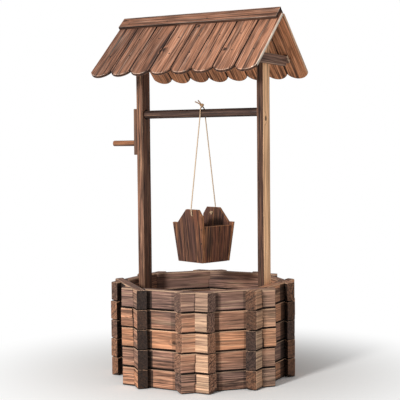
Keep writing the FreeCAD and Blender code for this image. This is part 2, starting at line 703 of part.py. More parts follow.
for course in range(int(size["courses"])):
    log_group(course, notch_on_top=True)
    log_group(course, notch_on_top=False)
floor_bearers()
floor_slats()
post("left_post", -1)
post("right_post", 1)
gable_tie("left_gable_tie", -1)
gable_tie("right_gable_tie", 1)
for slope_name in SLOPES:
    for board in range(int(size["board_count"])):
        roof_board(slope_name, board)
    ridge_cap(slope_name)
    for batten_row in ("upper", "lower"):
        roof_batten(slope_name, batten_row)
windlass()
ear_panel("front_ear_panel", 0)
side_panel("right_bucket_panel", 1)
ear_panel("back_ear_panel", 2)
side_panel("left_bucket_panel", 3)
bucket_bottom()
doc.recompute()
front_ear = nodes["front_ear_panel"]
back_ear = nodes["back_ear_panel"]
bar_to_ear("front_rope_leg", front_ear, -1)
bar_to_ear("back_rope_leg", back_ear, 1)
group("ear_ropes", [ear_rope(front_ear), ear_rope(back_ear)])
rope_knot()
all_fasteners()
doc.recompute()

for item in doc.Objects:
    if "Invalid" in item.State or "Error" in item.State:
        raise RuntimeError(f"{item.Label} failed: {item.State}")
for name, item in nodes.items():
    if item.Shape.isNull() or not item.Shape.isValid() or not item.Shape.Solids:
        raise RuntimeError(f"{name} has no valid solid")

os.makedirs("parts", exist_ok=True)
for name, item in nodes.items():
    item.Shape.exportStep(f"parts/{name}.step")
print(f"{len(nodes)} sub-parts, {sum(len(item.Shape.Solids) for item in nodes.values())} solids")
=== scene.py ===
# %% [markdown]
# # A wishing well planter in burnt fir
# The real thing is a flat-pack garden ornament: an octagonal tub of half-lapped logs, two posts, a roof of
# scalloped boards, and a windlass that lifts a small bucket on jute rope. All its timber is fir that was
# scorched with a flame and then brushed, which leaves dark, hard growth rings standing proud of paler wood.
# This script keeps the measured construction as a fixed frame and gives every board its looks. Each board
# is made at the origin, on a bench so to speak, with its grain along X, and is then carried to its place.
# That way the grain of the wood can be read from where each point lay on the bench.

# %% Set up
import math
import random

import bmesh
import bpy
from mathutils import Matrix, Vector, noise


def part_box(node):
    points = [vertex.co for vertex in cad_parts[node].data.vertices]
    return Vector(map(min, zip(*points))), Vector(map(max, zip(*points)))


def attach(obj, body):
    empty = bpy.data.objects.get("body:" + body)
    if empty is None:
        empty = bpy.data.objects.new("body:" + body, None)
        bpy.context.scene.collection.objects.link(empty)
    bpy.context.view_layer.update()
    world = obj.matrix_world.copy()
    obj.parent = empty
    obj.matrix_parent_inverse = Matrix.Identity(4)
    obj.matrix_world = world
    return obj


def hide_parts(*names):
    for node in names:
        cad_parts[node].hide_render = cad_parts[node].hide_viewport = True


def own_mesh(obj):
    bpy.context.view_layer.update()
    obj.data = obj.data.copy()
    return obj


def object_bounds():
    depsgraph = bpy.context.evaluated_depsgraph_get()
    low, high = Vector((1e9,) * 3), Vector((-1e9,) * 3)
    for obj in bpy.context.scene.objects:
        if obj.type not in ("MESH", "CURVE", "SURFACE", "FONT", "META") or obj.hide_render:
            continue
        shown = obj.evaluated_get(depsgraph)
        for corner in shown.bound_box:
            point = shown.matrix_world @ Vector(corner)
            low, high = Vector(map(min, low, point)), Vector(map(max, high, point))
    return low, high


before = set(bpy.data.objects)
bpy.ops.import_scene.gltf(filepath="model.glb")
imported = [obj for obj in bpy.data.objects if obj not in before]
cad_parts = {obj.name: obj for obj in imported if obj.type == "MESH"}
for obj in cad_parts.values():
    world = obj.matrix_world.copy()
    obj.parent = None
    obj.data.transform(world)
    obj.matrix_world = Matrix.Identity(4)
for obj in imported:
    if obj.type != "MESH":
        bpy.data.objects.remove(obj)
cad_low, cad_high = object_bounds()
MM = 0.001
print("size of the well in mm:", [round(side / MM) for side in cad_high - cad_low])

# %% [markdown]
# ## The camera
# The photograph was taken from the front right, at about two thirds of the well's height, with a long lens.
# The place, heading, tilt and roll below were found by fitting the edges of the roof, the posts and the
# tub. A lens of 93 mm on a 36 mm sensor keeps the verticals nearly parallel, so the picture needs no shift.

# %% Camera
CAMERA_PLACE = Vector((1.525, -2.896, 0.729))
CAMERA_HEADING = 27.9
CAMERA_TILT = -3.04
CAMERA_ROLL = 0.55
CAMERA_LENS = 92.9


def new_object(name, data):
    """An object with this data, in the scene."""
    made = bpy.data.objects.new(name, data)
    bpy.context.scene.collection.objects.link(made)
    return made


def turned(axis, degrees):
    """A turn about an axis through the origin."""
    return Matrix.Rotation(math.radians(degrees), 4, axis)


camera = new_object("camera", bpy.data.cameras.new("camera"))
camera.data.lens = CAMERA_LENS
camera.data.clip_end = 50
camera.matrix_world = (Matrix.Translation(CAMERA_PLACE) @ turned("Z", CAMERA_HEADING)
                       @ turned("X", 90 + CAMERA_TILT) @ turned("Z", -CAMERA_ROLL))
bpy.context.scene.camera = camera
bpy.context.scene.view_settings.view_transform = "Standard"
print("camera at", tuple(round(value, 3) for value in camera.location))

# %% [markdown]
# ## Colours and nodes
# Colours are picked as sRGB hex values, the way a paint card gives them, and shaders want linear light, so
# one function turns one into the other. A second small function adds a node with its settings and its
# links. A node that is handed to another one is linked by its first output in use, so a material reads as a
# list of steps.

# %% Colour and node helpers
def colour(hex_value):
    """A linear colour from an sRGB hex value."""
    parts = [int(hex_value[index:index + 2], 16) / 255 for index in (1, 3, 5)]
    linear = [part / 12.92 if part <= 0.04045 else ((part + 0.055) / 1.055) ** 2.4 for part in parts]
    return (*linear, 1)


def add(tree, kind, inputs=(), stops=(), **settings):
    """Add a node: settings are its properties, inputs are values, nodes or outputs, and stops fill a ramp."""
    node = tree.nodes.new("ShaderNode" + kind)
    for name, value in settings.items():
        setattr(node, name, value)
    for key, value in inputs.items() if isinstance(inputs, dict) else enumerate(inputs):
        if isinstance(value, bpy.types.Node):
            value = next(output for output in value.outputs if output.enabled)
        if isinstance(value, bpy.types.NodeSocket):
            tree.links.new(value, node.inputs[key])
        else:
            node.inputs[key].default_value = value
    if stops:
        elements = node.color_ramp.elements
        while len(elements) < len(stops):
            elements.new(0.5)
        for element, (position, value) in zip(elements, stops):
            element.position = position
            element.color = (value, value, value, 1)
    return node


def new_material(name):
    """An empty material and its node tree."""
    material = bpy.data.materials.new(name)
    material.use_nodes = True
    material.node_tree.nodes.clear()
    return material, material.node_tree


print("white is", colour("#ffffff"))

# %% [markdown]
# ## The studio
# The photograph is a cut-out on white. Its main light stands a little left of the camera, square to the
# front wall: the wall right of it stays two thirds as bright, and the next one gets only the light that
# comes back from the floor. One lamp does that, and a pale sky fills the rest. The lamp stands low, so that
# the eaves throw little shadow on the posts.

# %% Sky
SKY_LIGHT = 0.48


def seen_directly(tree):
    """1 where a ray comes from the camera or by way of a mirror or glass, else 0."""
    path = add(tree, "LightPath").outputs
    either = add(tree, "Math", [path["Is Camera Ray"], path["Is Glossy Ray"]], operation="MAXIMUM")
    return add(tree, "Math", [either, path["Is Transmission Ray"]], operation="MAXIMUM")


world = bpy.data.worlds.new("studio_sky")
world.use_nodes = True
tree = world.node_tree
tree.nodes.clear()
brightness = add(tree, "MapRange", [seen_directly(tree), 0.0, 1.0, SKY_LIGHT, 1.0])
sky = add(tree, "Background", {"Color": colour("#ffffff"), "Strength": brightness})
add(tree, "OutputWorld", {"Surface": sky})
bpy.context.scene.world = world
print("sky at", SKY_LIGHT, "of white")

# %% Lamp
LAMP_POWER = 166
LAMP_SIZE = 0.6
LAMP_DISTANCE = 4.0
LAMP_HEADING = -32
LAMP_HEIGHT = 14

lamp = new_object("lamp", bpy.data.lights.new("lamp", "AREA"))
lamp.data.shape = "DISK"
lamp.data.size = LAMP_SIZE
lamp.data.energy = LAMP_POWER
middle = (cad_low + cad_high) / 2
lamp.matrix_world = (Matrix.Translation(middle) @ turned("Z", CAMERA_HEADING + LAMP_HEADING)
                     @ turned("X", 90 - LAMP_HEIGHT) @ Matrix.Translation((0, 0, LAMP_DISTANCE)))
print("lamp at", tuple(round(value, 2) for value in lamp.matrix_world.translation))

# %% [markdown]
# The floor is plain and pale, and keeps the well's shadow. Further out it fades into the white backdrop,
# but only where the camera or a reflection sees it, so that it throws no extra light on the well.

# %% Floor under the well
FLOOR_SIZE = 14.0
FADE_START = 0.32
FADE_END = 0.95


def as_object(bm, name):
    """An object with this bmesh as its mesh, and the bmesh freed."""
    mesh = bpy.data.meshes.new(name)
    bm.to_mesh(mesh)
    bm.free()
    return new_object(name, mesh)


grid = bmesh.new()
bmesh.ops.create_grid(grid, x_segments=1, y_segments=1, size=FLOOR_SIZE / 2)
floor = as_object(grid, "studio_floor")
material, tree = new_material("pale_floor")
place = add(tree, "TexCoord").outputs["Object"]
distance = add(tree, "VectorMath", [place], operation="LENGTH")
fade = add(tree, "MapRange", [distance, FADE_START, FADE_END], interpolation_type="SMOOTHSTEP")
shown = add(tree, "Math", [fade, seen_directly(tree)], operation="MULTIPLY")
matt = add(tree, "BsdfDiffuse", {"Color": colour("#f4f3f1")})
white = add(tree, "Emission", {"Color": colour("#ffffff"), "Strength": 1.0})
add(tree, "OutputMaterial", {"Surface": add(tree, "MixShader", [shown, matt, white])})
floor.data.materials.append(material)
print("floor fades out at", FADE_END, "m")

# %% [markdown]
# ## Burnt fir
# Fir grows a wide pale band each spring and a narrow hard one each summer. The flame turns the summer bands
# near black, and the brush takes the soft spring wood away, so the surface is a set of low ridges. The
# bands are shells round the pith of the tree, so one solid pattern, the distance from the pith, gives long
# streaks on a board's face and arcs on its end. Real fibres are finer than a millimetre. They are drawn
# three millimetres wide, and the years up to seven apart, so that they show.
#
# The pattern reads two attributes that every board carries: where a point lay on the bench, in millimetres
# from the pith, and how the face was finished. The finish is three numbers: how brown the board came out,
# how deep it was burnt, and its last treatment, from 1 for freshly sawn to -1 for soot. The last number also
# carries painted light, towards 1, and painted shade, towards -1.

# %% Waves of a grown trunk
SLOW_WAVE = (1 / 260, 1 / 120, 1 / 120)
SLOW_SHIFT = 12
QUICK_WAVE = (1 / 130, 1 / 24, 1 / 24)
QUICK_SHIFT = 1.4


def noise_on(tree, grain, stretch, detail, roughness=0.55):
    """Noise stretched along the grain."""
    at = add(tree, "VectorMath", [grain, stretch], operation="MULTIPLY")
    return add(tree, "TexNoise", {"Vector": at, "Scale": 1.0, "Detail": detail, "Roughness": roughness})


def shifted(tree, grain, waves, amount):
    """The grain's place moved by the colour of a noise."""
    centred = add(tree, "VectorMath", [waves.outputs["Color"], (0.5, 0.5, 0.5)], operation="SUBTRACT")
    return add(tree, "VectorMath", [centred, (amount, amount, amount), grain], operation="MULTIPLY_ADD")


def from_pith(tree, grain):
    """How far a point lies from the pith."""
    across = add(tree, "VectorMath", [grain, (0, 1, 1)], operation="MULTIPLY")
    return add(tree, "VectorMath", [across], operation="LENGTH")


print("the trunk's waves shift the grain by up to", SLOW_SHIFT / 2, "and", QUICK_SHIFT / 2, "mm")

# %% [markdown]
# Knots are the dark ends of branches, which run out from the pith. A Voronoi pattern is laid over the length
# of the trunk and the angle round it, and a share of its cells hold a knot. Knots are drawn longer along the
# grain than across it, and the years bend round them.

# %% Knots
KNOT_CELL = (190, 0.9)
KNOT_STRETCH = 0.6
KNOT_RADIUS = 4.5


def knots(tree, grain, share):
    """Where knots lie: the wood round one, and its core."""
    along, level, upright = add(tree, "SeparateXYZ", [grain]).outputs
    angle = add(tree, "Math", [upright, level], operation="ARCTAN2")
    radius = from_pith(tree, grain)
    cells_along = add(tree, "Math", [along, 1 / KNOT_CELL[0]], operation="MULTIPLY")
    cells_round = add(tree, "Math", [angle, 1 / KNOT_CELL[1]], operation="MULTIPLY")
    at = add(tree, "CombineXYZ", [cells_along, cells_round])
    cells = add(tree, "TexVoronoi", {"Vector": at, "Scale": 1.0, "Randomness": 0.9}, voronoi_dimensions="2D")
    away = add(tree, "VectorMath", [at, cells.outputs["Position"]], operation="SUBTRACT")
    cell_width = add(tree, "Math", [radius, KNOT_CELL[1]], operation="MULTIPLY")
    cell_size = add(tree, "CombineXYZ", [KNOT_CELL[0] * KNOT_STRETCH, cell_width])
    away = add(tree, "VectorMath", [away, cell_size], operation="MULTIPLY")
    far = add(tree, "VectorMath", [away], operation="LENGTH")
    lot = add(tree, "SeparateColor", [cells.outputs["Color"]])
    chosen = add(tree, "Math", [lot, share], operation="LESS_THAN")
    round_it = add(tree, "MapRange", [far, KNOT_RADIUS * 3.2, KNOT_RADIUS * 0.6])
    core = add(tree, "MapRange", [far, KNOT_RADIUS * 1.3, KNOT_RADIUS * 0.7])
    return [add(tree, "Math", [part, chosen], operation="MULTIPLY") for part in (round_it, core)]


print("a knot is about", 2 * KNOT_RADIUS, "mm wide")

# %% [markdown]
# A year is a number that grows with the distance from the pith, unevenly, as the weather goes. What is left
# after its whole part says how far the year is on, and a ramp turns that into spring and summer. Each
# year's vigour is one random number, and streaks along the grain break its band up.

# %% Years
GROWTH_WAVE = 19
GROWTH_SWING = 5.0
KNOT_SWELL = 1.8
YEAR = [(0.0, 0.5), (0.04, 0.0), (0.52, 0.04), (0.6, 0.8), (0.94, 1.0), (1.0, 0.5)]


def summer_bands(tree, bent, streak, round_knot, ring_width):
    """The share of summer wood at each point."""
    depth = from_pith(tree, bent)
    depth = add(tree, "Math", [round_knot, -ring_width * KNOT_SWELL, depth], operation="MULTIPLY_ADD")
    weather = add(tree, "Math", [depth, 1 / GROWTH_WAVE], operation="MULTIPLY")
    growth = add(tree, "TexNoise", {"W": weather, "Scale": 1.0, "Detail": 1.0}, noise_dimensions="1D")
    even_years = add(tree, "Math", [depth, 1 / ring_width], operation="MULTIPLY")
    years = add(tree, "Math", [growth, GROWTH_SWING, even_years], operation="MULTIPLY_ADD")
    part_of_year = add(tree, "Math", [years], operation="FRACT")
    year = add(tree, "Math", [years], operation="FLOOR")
    vigour = add(tree, "TexWhiteNoise", {"W": year}, noise_dimensions="1D")
    band = add(tree, "ValToRGB", [part_of_year], stops=YEAR)
    unbroken = add(tree, "MapRange", [streak, 0.36, 0.56, 0.25, 1.0])
    strong = add(tree, "MapRange", [vigour, 0.0, 0.7, 0.3, 1.0])
    broken = add(tree, "Math", [unbroken, strong], operation="MULTIPLY")
    return add(tree, "Math", [band, broken], operation="MULTIPLY")


print("spring wood takes", YEAR[2][0], "of a year")

# %% [markdown]
# The colours go on in coats: spring wood between two browns, the dark summer bands, places that the brush
# wore bare, scorch where the flame lingered, the saw's pale faces with painted light among them, the cores
# of the knots and last the soot with painted shade among it.
# The relief is the ridges of summer wood with fine fibres over them.

# %% Burnt fir material
STREAK = (1 / 150, 1 / 5, 1 / 5)
PATCH = (1 / 110, 1 / 8, 1 / 8)
FIBRE = (1 / 140, 1 / 3, 1 / 3)
# The soot colour also serves as painted shade.
SOOT_AND_SHADE = "#150f0c"
RIDGE_STRENGTH = 0.9
RIDGE_HEIGHT = 0.8 * MM


def burnt_fir(name, spring, tanned, summer, raw, ring_width, char=0.8, wear=0.2, gloss=0.3, knotty=0.12):
    """Flame-burnt and brushed fir: dark summer bands that stand proud of the spring wood."""
    material, tree = new_material(name)
    grain = add(tree, "Attribute", attribute_name="grain").outputs["Vector"]
    finish = add(tree, "Attribute", attribute_name="finish").outputs["Vector"]
    tone, burn, treatment_and_painted_light = add(tree, "SeparateXYZ", [finish]).outputs

    # The pattern of the wood.
    round_knot, knot = knots(tree, grain, knotty)
    slow = noise_on(tree, grain, SLOW_WAVE, 1.5, 0.4)
    quick = noise_on(tree, grain, QUICK_WAVE, 2.0, 0.5)
    bent = shifted(tree, shifted(tree, grain, slow, SLOW_SHIFT), quick, QUICK_SHIFT)
    streak = noise_on(tree, bent, STREAK, 2.0)
    patch = noise_on(tree, bent, PATCH, 3.0, 0.6)
    fibre = noise_on(tree, grain, FIBRE, 3.0, 0.65)
    bands = summer_bands(tree, bent, streak, round_knot, ring_width)

    # The share of each coat.
    uneven = add(tree, "MapRange", [slow, 0.3, 0.7, -0.35, 0.35])
    browned = add(tree, "Math", [tone, uneven], operation="ADD", use_clamp=True)
    darkened = add(tree, "Math", [bands, burn], operation="MULTIPLY")
    streak_lot = add(tree, "SeparateColor", [streak.outputs["Color"]]).outputs[1]
    worn = add(tree, "MapRange", [streak_lot, 0.54, 0.68, 0.0, wear])
    lingered = add(tree, "MapRange", [patch, 0.5, 0.66])
    flamed = add(tree, "Math", [lingered, burn], operation="MULTIPLY")
    scorched = add(tree, "Math", [flamed, char], operation="MULTIPLY")
    # The pale sawn coat also carries painted light, and the soot coat painted shade.
    sawn_and_lit = add(tree, "MapRange", [treatment_and_painted_light, 0.0, 1.0])
    sawn_bands = add(tree, "Math", [bands, 0.75], operation="MULTIPLY")
    sawn_and_lit_wood = add(tree, "Mix", {0: sawn_bands, 6: colour(raw), 7: colour(tanned)}, data_type="RGBA")
    core_fibres = add(tree, "MapRange", [fibre, 0.3, 0.6, 0.4, 1.0])
    core = add(tree, "Math", [knot, core_fibres], operation="MULTIPLY")
    sooty_and_shaded = add(tree, "MapRange", [treatment_and_painted_light, 0.0, -1.0])

    # The coats, each over the ones before it.
    coats = [(browned, colour(tanned)), (darkened, colour(summer)), (worn, colour(raw)),
             (scorched, colour(summer)), (sawn_and_lit, sawn_and_lit_wood), (core, colour(SOOT_AND_SHADE)), (sooty_and_shaded, colour(SOOT_AND_SHADE))]
    wood = colour(spring)
    for share, over in coats:
        wood = add(tree, "Mix", {0: share, 6: wood, 7: over}, data_type="RGBA")
    shade = add(tree, "MapRange", [fibre, 0.34, 0.66, 0.5, 1.45])
    brushed = add(tree, "VectorMath", {0: wood, "Scale": shade}, operation="SCALE")

    # The relief and the sheen.
    height = add(tree, "Math", [fibre, 0.4, bands], operation="MULTIPLY_ADD")
    relief = add(tree, "Bump", {"Strength": RIDGE_STRENGTH, "Distance": RIDGE_HEIGHT, "Height": height})
    rough = add(tree, "MapRange", [bands, 0.0, 1.0, 1.0 - gloss * 0.5, 1.0 - gloss])
    surface = add(tree, "BsdfPrincipled", {"Base Color": brushed, "Roughness": rough, "Normal": relief,
                                           "IOR": 1.45, "Specular IOR Level": 0.25})
    add(tree, "OutputMaterial", {"Surface": surface})
    return material


print("the ridges of summer wood stand", RIDGE_HEIGHT / MM, "mm proud")

# %% [markdown]
# Each part of the well came out of the flame in its own shades. They are, in this order: spring wood as it
# is, spring wood tanned by the flame, summer wood, and wood bared by the saw or the brush. The bare shades of
# the posts and the roof boards are brighter than bare wood, a painted light on the faces that look to the
# right, away from the lamp. The logs and the bucket were brushed hardest, the roof boards have the most
# knots, and the windlass has a sheen from its turning.

# %% The timber of this well
SHADES = {
    "log_fir": ("#c18866", "#806256", "#241918", "#c8a788"),
    # The roof's bare shade is near white: painted light on the gable edges that look away from the lamp.
    "roof_fir": ("#b98163", "#825945", "#291a16", "#fff0dd"),
    # A paler copy of the roof's shades for the back slope: painted light on its underside, in the shade of
    # the front slope.
    "back_roof_fir_painted_paler": ("#cd8c64", "#93624a", "#291a16", "#f0cba8"),
    "batten_fir": ("#93705f", "#6b5148", "#2b2022", "#e8caac"),
    # The post's bare shade is bright too: painted light on the right post's outside.
    "post_fir": ("#8a6350", "#5e3c2c", "#1f1615", "#ffcb9c"),
    "floor_fir": ("#b88663", "#876754", "#42302a", "#d8b491"),
    "windlass_fir": ("#a36c4a", "#4f3a31", "#1f1613", "#c99b76"),
    "bucket_fir": ("#a4603c", "#573a30", "#181110", "#c98c5c"),
}
BRUSHING = {
    "log_fir": {"ring_width": 6.5, "char": 0.85, "wear": 0.35},
    "roof_fir": {"ring_width": 5.5, "char": 0.7, "wear": 0.12, "knotty": 0.4},
    "back_roof_fir_painted_paler": {"ring_width": 5.5, "char": 0.9, "wear": 0.15, "knotty": 0.4},
    "batten_fir": {"ring_width": 6.0},
    "post_fir": {"ring_width": 6.5},
    "floor_fir": {"ring_width": 6.0},
    "windlass_fir": {"ring_width": 6.0, "gloss": 0.6},
    "bucket_fir": {"ring_width": 7.0, "char": 0.95, "wear": 0.3},
}
FINISHES = {name: burnt_fir(name, *shades, **BRUSHING[name]) for name, shades in SHADES.items()}
print(len(FINISHES), "wood materials")

# %% [markdown]
# ## Rope and steel
# The rope is jute, pale where it is clean and browner where hands have tied it. Its real hairs are far
# finer, and are drawn about a millimetre apart so that they show. The nails and screws are dull zinc that has
# gone dark in the weather.

# %% Jute
HAIRS_PER_METRE = 900.0
HAIR_HEIGHT = 0.3 * MM

material, tree = new_material("jute_rope")
jute_finish = add(tree, "Attribute", attribute_name="finish").outputs["Vector"]
handled = add(tree, "SeparateXYZ", [jute_finish])
place = add(tree, "TexCoord").outputs["Object"]
hairs = add(tree, "TexNoise", {"Vector": place, "Scale": HAIRS_PER_METRE, "Detail": 2.0})
jute = add(tree, "Mix", {0: handled, 6: colour("#bea487"), 7: colour("#8c6845")}, data_type="RGBA")
shade = add(tree, "MapRange", [hairs, 0.3, 0.7, 0.75, 1.15])
flecked = add(tree, "VectorMath", {0: jute, "Scale": shade}, operation="SCALE")
relief = add(tree, "Bump", {"Strength": 0.5, "Distance": HAIR_HEIGHT, "Height": hairs})
surface = add(tree, "BsdfPrincipled", {"Base Color": flecked, "Roughness": 0.9, "Normal": relief})
add(tree, "OutputMaterial", {"Surface": surface})
FINISHES["jute_rope"] = material
print("jute in", material.name)

# %% Dark zinc
material, tree = new_material("zinc_steel")
surface = add(tree, "BsdfPrincipled", {"Base Color": colour("#3d3733"), "Metallic": 1.0, "Roughness": 0.55})
add(tree, "OutputMaterial", {"Surface": surface})
FASTENERS = [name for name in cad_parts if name.endswith(("_nails", "_screws"))]
for name in FASTENERS:
    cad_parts[name].data.materials.clear()
    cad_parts[name].data.materials.append(material)
print("dark zinc on", len(FASTENERS), "groups of fasteners")

# %% [markdown]
# ## Timber on the bench
# Every board starts as a plain block or outline. It is cut across at even steps so that it can be bent a
# little, because no real board is quite straight, and its edges are rounded the way brushing wears them. A
# board is cheap to shape while it lies along X at the origin. Only when it is finished does it learn its
# grain, and then it moves. Blender's noise starts from the clock unless it is given a seed, so it gets one,
# and the boards come out the same each time.

# %% Blocks, rods and saw cuts
ALONG = (1, 0, 0)
ROUND_SIDES = 32


def block(length, width, thickness):
    """A closed block centred on the bench, with its grain along X."""
    bm = bmesh.new()
    bmesh.ops.create_cube(bm, size=1)
    bmesh.ops.scale(bm, vec=(length, width, thickness), verts=bm.verts)
    return bm


def rod(length, radius):
    """A closed round bar centred on the bench, along X."""
    bm = bmesh.new()
    bmesh.ops.create_cone(bm, cap_ends=True, segments=ROUND_SIDES, radius1=radius, radius2=radius,
                          depth=length)
    bmesh.ops.rotate(bm, matrix=turned("Y", 90), verts=bm.verts)
    return bm


def thicken(bm, thickness):
    """Turn the one flat face of a bmesh in the XY plane into a closed board, centred in Z."""
    grown = bmesh.ops.extrude_face_region(bm, geom=bm.faces[:], use_keep_orig=True)["geom"]
    top = [item for item in grown if isinstance(item, bmesh.types.BMVert)]
    bmesh.ops.translate(bm, vec=(0, 0, thickness), verts=top)
    bmesh.ops.translate(bm, vec=(0, 0, -thickness / 2), verts=bm.verts)
    bmesh.ops.recalc_face_normals(bm, faces=bm.faces)


def saw(bm, place, direction, trim=False):
    """Cut a board by a plane. With trim, what lies beyond it falls away, and the cut is closed."""
    cut = bmesh.ops.bisect_plane(bm, geom=bm.verts[:] + bm.edges[:] + bm.faces[:], plane_co=place,
                                 plane_no=direction, clear_outer=trim)["geom_cut"]
    rim = [item for item in cut if isinstance(item, bmesh.types.BMEdge)]
    if trim and rim:
        bmesh.ops.contextual_create(bm, geom=rim)


def cut_across(bm, step):
    """Cut a board across its grain at even steps, so that it can bend."""
    places = [vert.co.x for vert in bm.verts]
    low, high = min(places), max(places)
    count = max(1, round((high - low) / step))
    for index in range(1, count):
        saw(bm, (low + (high - low) * index / count, 0, 0), ALONG)


sample = rod(100 * MM, 10 * MM)
cut_across(sample, 20 * MM)
print("a round bar cut across has", len(sample.faces), "faces")
sample.free()

# %% Worn edges and bent boards
SHARP = math.radians(25)
NOISE_SEED = 1
noise.seed_set(NOISE_SEED)


def round_edges(bm, radius, segments=3, chosen=None):
    """Round the sharp edges of a board, or those of them that are chosen."""
    edges = [edge for edge in bm.edges if edge.is_manifold and edge.calc_face_angle() > SHARP]
    edges = [edge for edge in edges if chosen is None or chosen(edge)]
    bmesh.ops.bevel(bm, geom=edges, offset=radius, offset_type="OFFSET", segments=segments, profile=0.5,
                    affect="EDGES", clamp_overlap=True, material=-1)


def bend(bm, amount, seed, wave=0.09):
    """Move the points of a board by up to an amount, smoothly along it, the same way for the same seed."""
    start = Vector((random.Random(seed).uniform(0, 90), 0, 0))
    for vert in bm.verts:
        vert.co += noise.noise_vector(vert.co / wave + start) * amount


sample = block(100 * MM, 50 * MM, 20 * MM)
round_edges(sample, 3 * MM)
print("a block with rounded edges has", len(sample.faces), "faces")
sample.free()

# %% [markdown]
# Laps and holes are cut with a Boolean modifier. Its manifold solver is quick and needs closed shapes,
# which everything on this bench is.

# %% Carving
def carve(bm, cutter):
    """Cut one closed shape out of another, and return what is left."""
    wood, tool = as_object(bm, "wood"), as_object(cutter, "tool")
    cut = wood.modifiers.new("cut", "BOOLEAN")
    cut.operation = "DIFFERENCE"
    cut.solver = "MANIFOLD"
    cut.object = tool
    left = bpy.data.meshes.new_from_object(wood.evaluated_get(bpy.context.evaluated_depsgraph_get()))
    carved = bmesh.new()
    carved.from_mesh(left)
    for used in (wood, tool):
        mesh = used.data
        bpy.data.objects.remove(used)
        bpy.data.meshes.remove(mesh)
    bpy.data.meshes.remove(left)
    return carved


def drill(bm, place, length, radius, end_radius=None, sides=ROUND_SIDES):
    """Carve a round hole, square to the bench, about a place. With an end radius it is a cone."""
    hole = bmesh.new()
    bmesh.ops.create_cone(hole, cap_ends=True, segments=sides, radius1=radius, radius2=end_radius or radius,
                          depth=length)
    bmesh.ops.translate(hole, vec=place, verts=hole.verts)
    return carve(bm, hole)


sample = drill(block(100 * MM, 50 * MM, 20 * MM), (0, 0, 0), 40 * MM, 10 * MM)
print("a block with a hole has", len(sample.faces), "faces")
sample.free()

# %% [markdown]
# ## Grain and finish
# The trunk that a board was sawn from is chosen here: how far away its pith lies, in which direction, and
# how brown the board came out. In most boards the pith lies off a corner, so the rings cross each face as
# fine lines. In one out of five it lies straight behind a face, which gives the pointed arches of flat-sawn
# wood. The flame reaches every long face; the saw comes after it on some ends and edges, which stay pale.
# Faces that look into a joint get soot and painted shade. Rounded edges are brushed lighter.

# %% Give a board its grain
EDGE_WEAR = 0.3
FLAT_FACE = 0.97
FLAT_SAWN = 0.2
PITH_BEHIND_FACE = (30, 45)
PITH_OFF_CORNER = (50, 130)
PITH_SWING = 18
TRUNK_LENGTH = 9000


def season(bm, name, treat=None, tone=None, burn=None, pith=None):
    """Place each point in the trunk, in mm, and give a face its tone, burn, last treatment and painted light.
    """
    draw = random.Random(name)
    quarter, off = draw.randrange(4), draw.uniform(-PITH_SWING, PITH_SWING)
    flat_sawn = draw.random() < FLAT_SAWN
    angle = math.radians(90 * quarter + off + (0 if flat_sawn else 45))
    away = draw.uniform(*(PITH_BEHIND_FACE if flat_sawn else PITH_OFF_CORNER))
    shift = Vector((draw.uniform(0, TRUNK_LENGTH), away * math.cos(angle), away * math.sin(angle)))
    if pith is not None:
        shift.y, shift.z = pith
    tones = draw.uniform(0.0, 1.0) if tone is None else tone
    burns = draw.uniform(0.6, 1.0) if burn is None else burn
    grain = bm.verts.layers.float_vector.new("grain")
    finish = bm.faces.layers.float_vector.new("finish")
    bm.normal_update()
    for vert in bm.verts:
        vert[grain] = vert.co / MM + shift
    for face in bm.faces:
        treatment_and_painted_light = treat(face.normal, face.calc_center_median()) if treat else None
        if treatment_and_painted_light is None:
            treatment_and_painted_light = 0.0 if max(abs(part) for part in face.normal) > FLAT_FACE else EDGE_WEAR
        face[finish] = (tones, burns, treatment_and_painted_light)
    return bm


def plank(name, size, step, edge, segments=3, bow=0.0, wave=0.09, **finish):
    """A plain board: a block cut across, its edges rounded, bent by a bow and given its grain and finish."""
    bm = block(*size)
    cut_across(bm, step)
    round_edges(bm, edge, segments)
    if bow:
        bend(bm, bow, name, wave)
    return season(bm, name, **finish)


print("one board in", round(1 / FLAT_SAWN), "is flat-sawn")

# %% [markdown]
# A finished board is carried from the bench to its place. One or more of them make a piece, which stands
# for a part of the frame and moves with that part's body; how far it leaves its room is printed.

# %% Put boards in place
def placed(bm, matrix):
    """Carry a finished board from the bench to its place."""
    bmesh.ops.transform(bm, matrix=matrix, verts=bm.verts)
    return bm


def stand(node, boards, slot, body, name=None, finish=None):
    """Join boards into one piece that stands for a node, and print how far it leaves the node's box."""
    whole = bmesh.new()
    for bm in boards:
        mesh = bpy.data.meshes.new("board")
        bm.to_mesh(mesh)
        bm.free()
        whole.from_mesh(mesh)
        bpy.data.meshes.remove(mesh)
    open_edges = sum(not edge.is_manifold for edge in whole.edges)
    piece = as_object(whole, name or f"{node}_timber")
    piece.data.materials.append(FINISHES[finish or slot])
    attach(piece, body)
    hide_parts(node)
    low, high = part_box(node)
    out = 0.0
    for axis in range(3):
        seen = [vert.co[axis] for vert in piece.data.vertices]
        out = max(out, low[axis] - min(seen), max(seen) - high[axis])
    faces = len(piece.data.polygons)
    print(f"{piece.name}: {faces} faces, {open_edges} open edges, {out / MM:.2f} mm outside")
    return piece


print("the frame has", len(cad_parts), "nodes")

# %% [markdown]
# ## The tub
# Each wall is five logs high. A log is a plain 60 by 30 mm section, half-lapped into its two neighbours and
# left long past the lap, so the corners look woven, and its ends are cut at a slant. Every other log of a
# course is notched on top, the ones between underneath. The well stands on logs whose lower corners are
# clipped. A kit is never quite true: courses sit a little in or out, and joints stay open.

# %% Half laps
LOG_HEIGHT = 60 * MM
LOG_THICKNESS = 30 * MM
LOG_OVERHANG = 54 * MM
WALL_APOTHEM = 240 * MM
COURSES = 5
SIDES = 8
TURN = 360 / SIDES
HALF_SIDE = WALL_APOTHEM * math.tan(math.radians(TURN / 2))
LAP_PLAY = 1.0 * MM


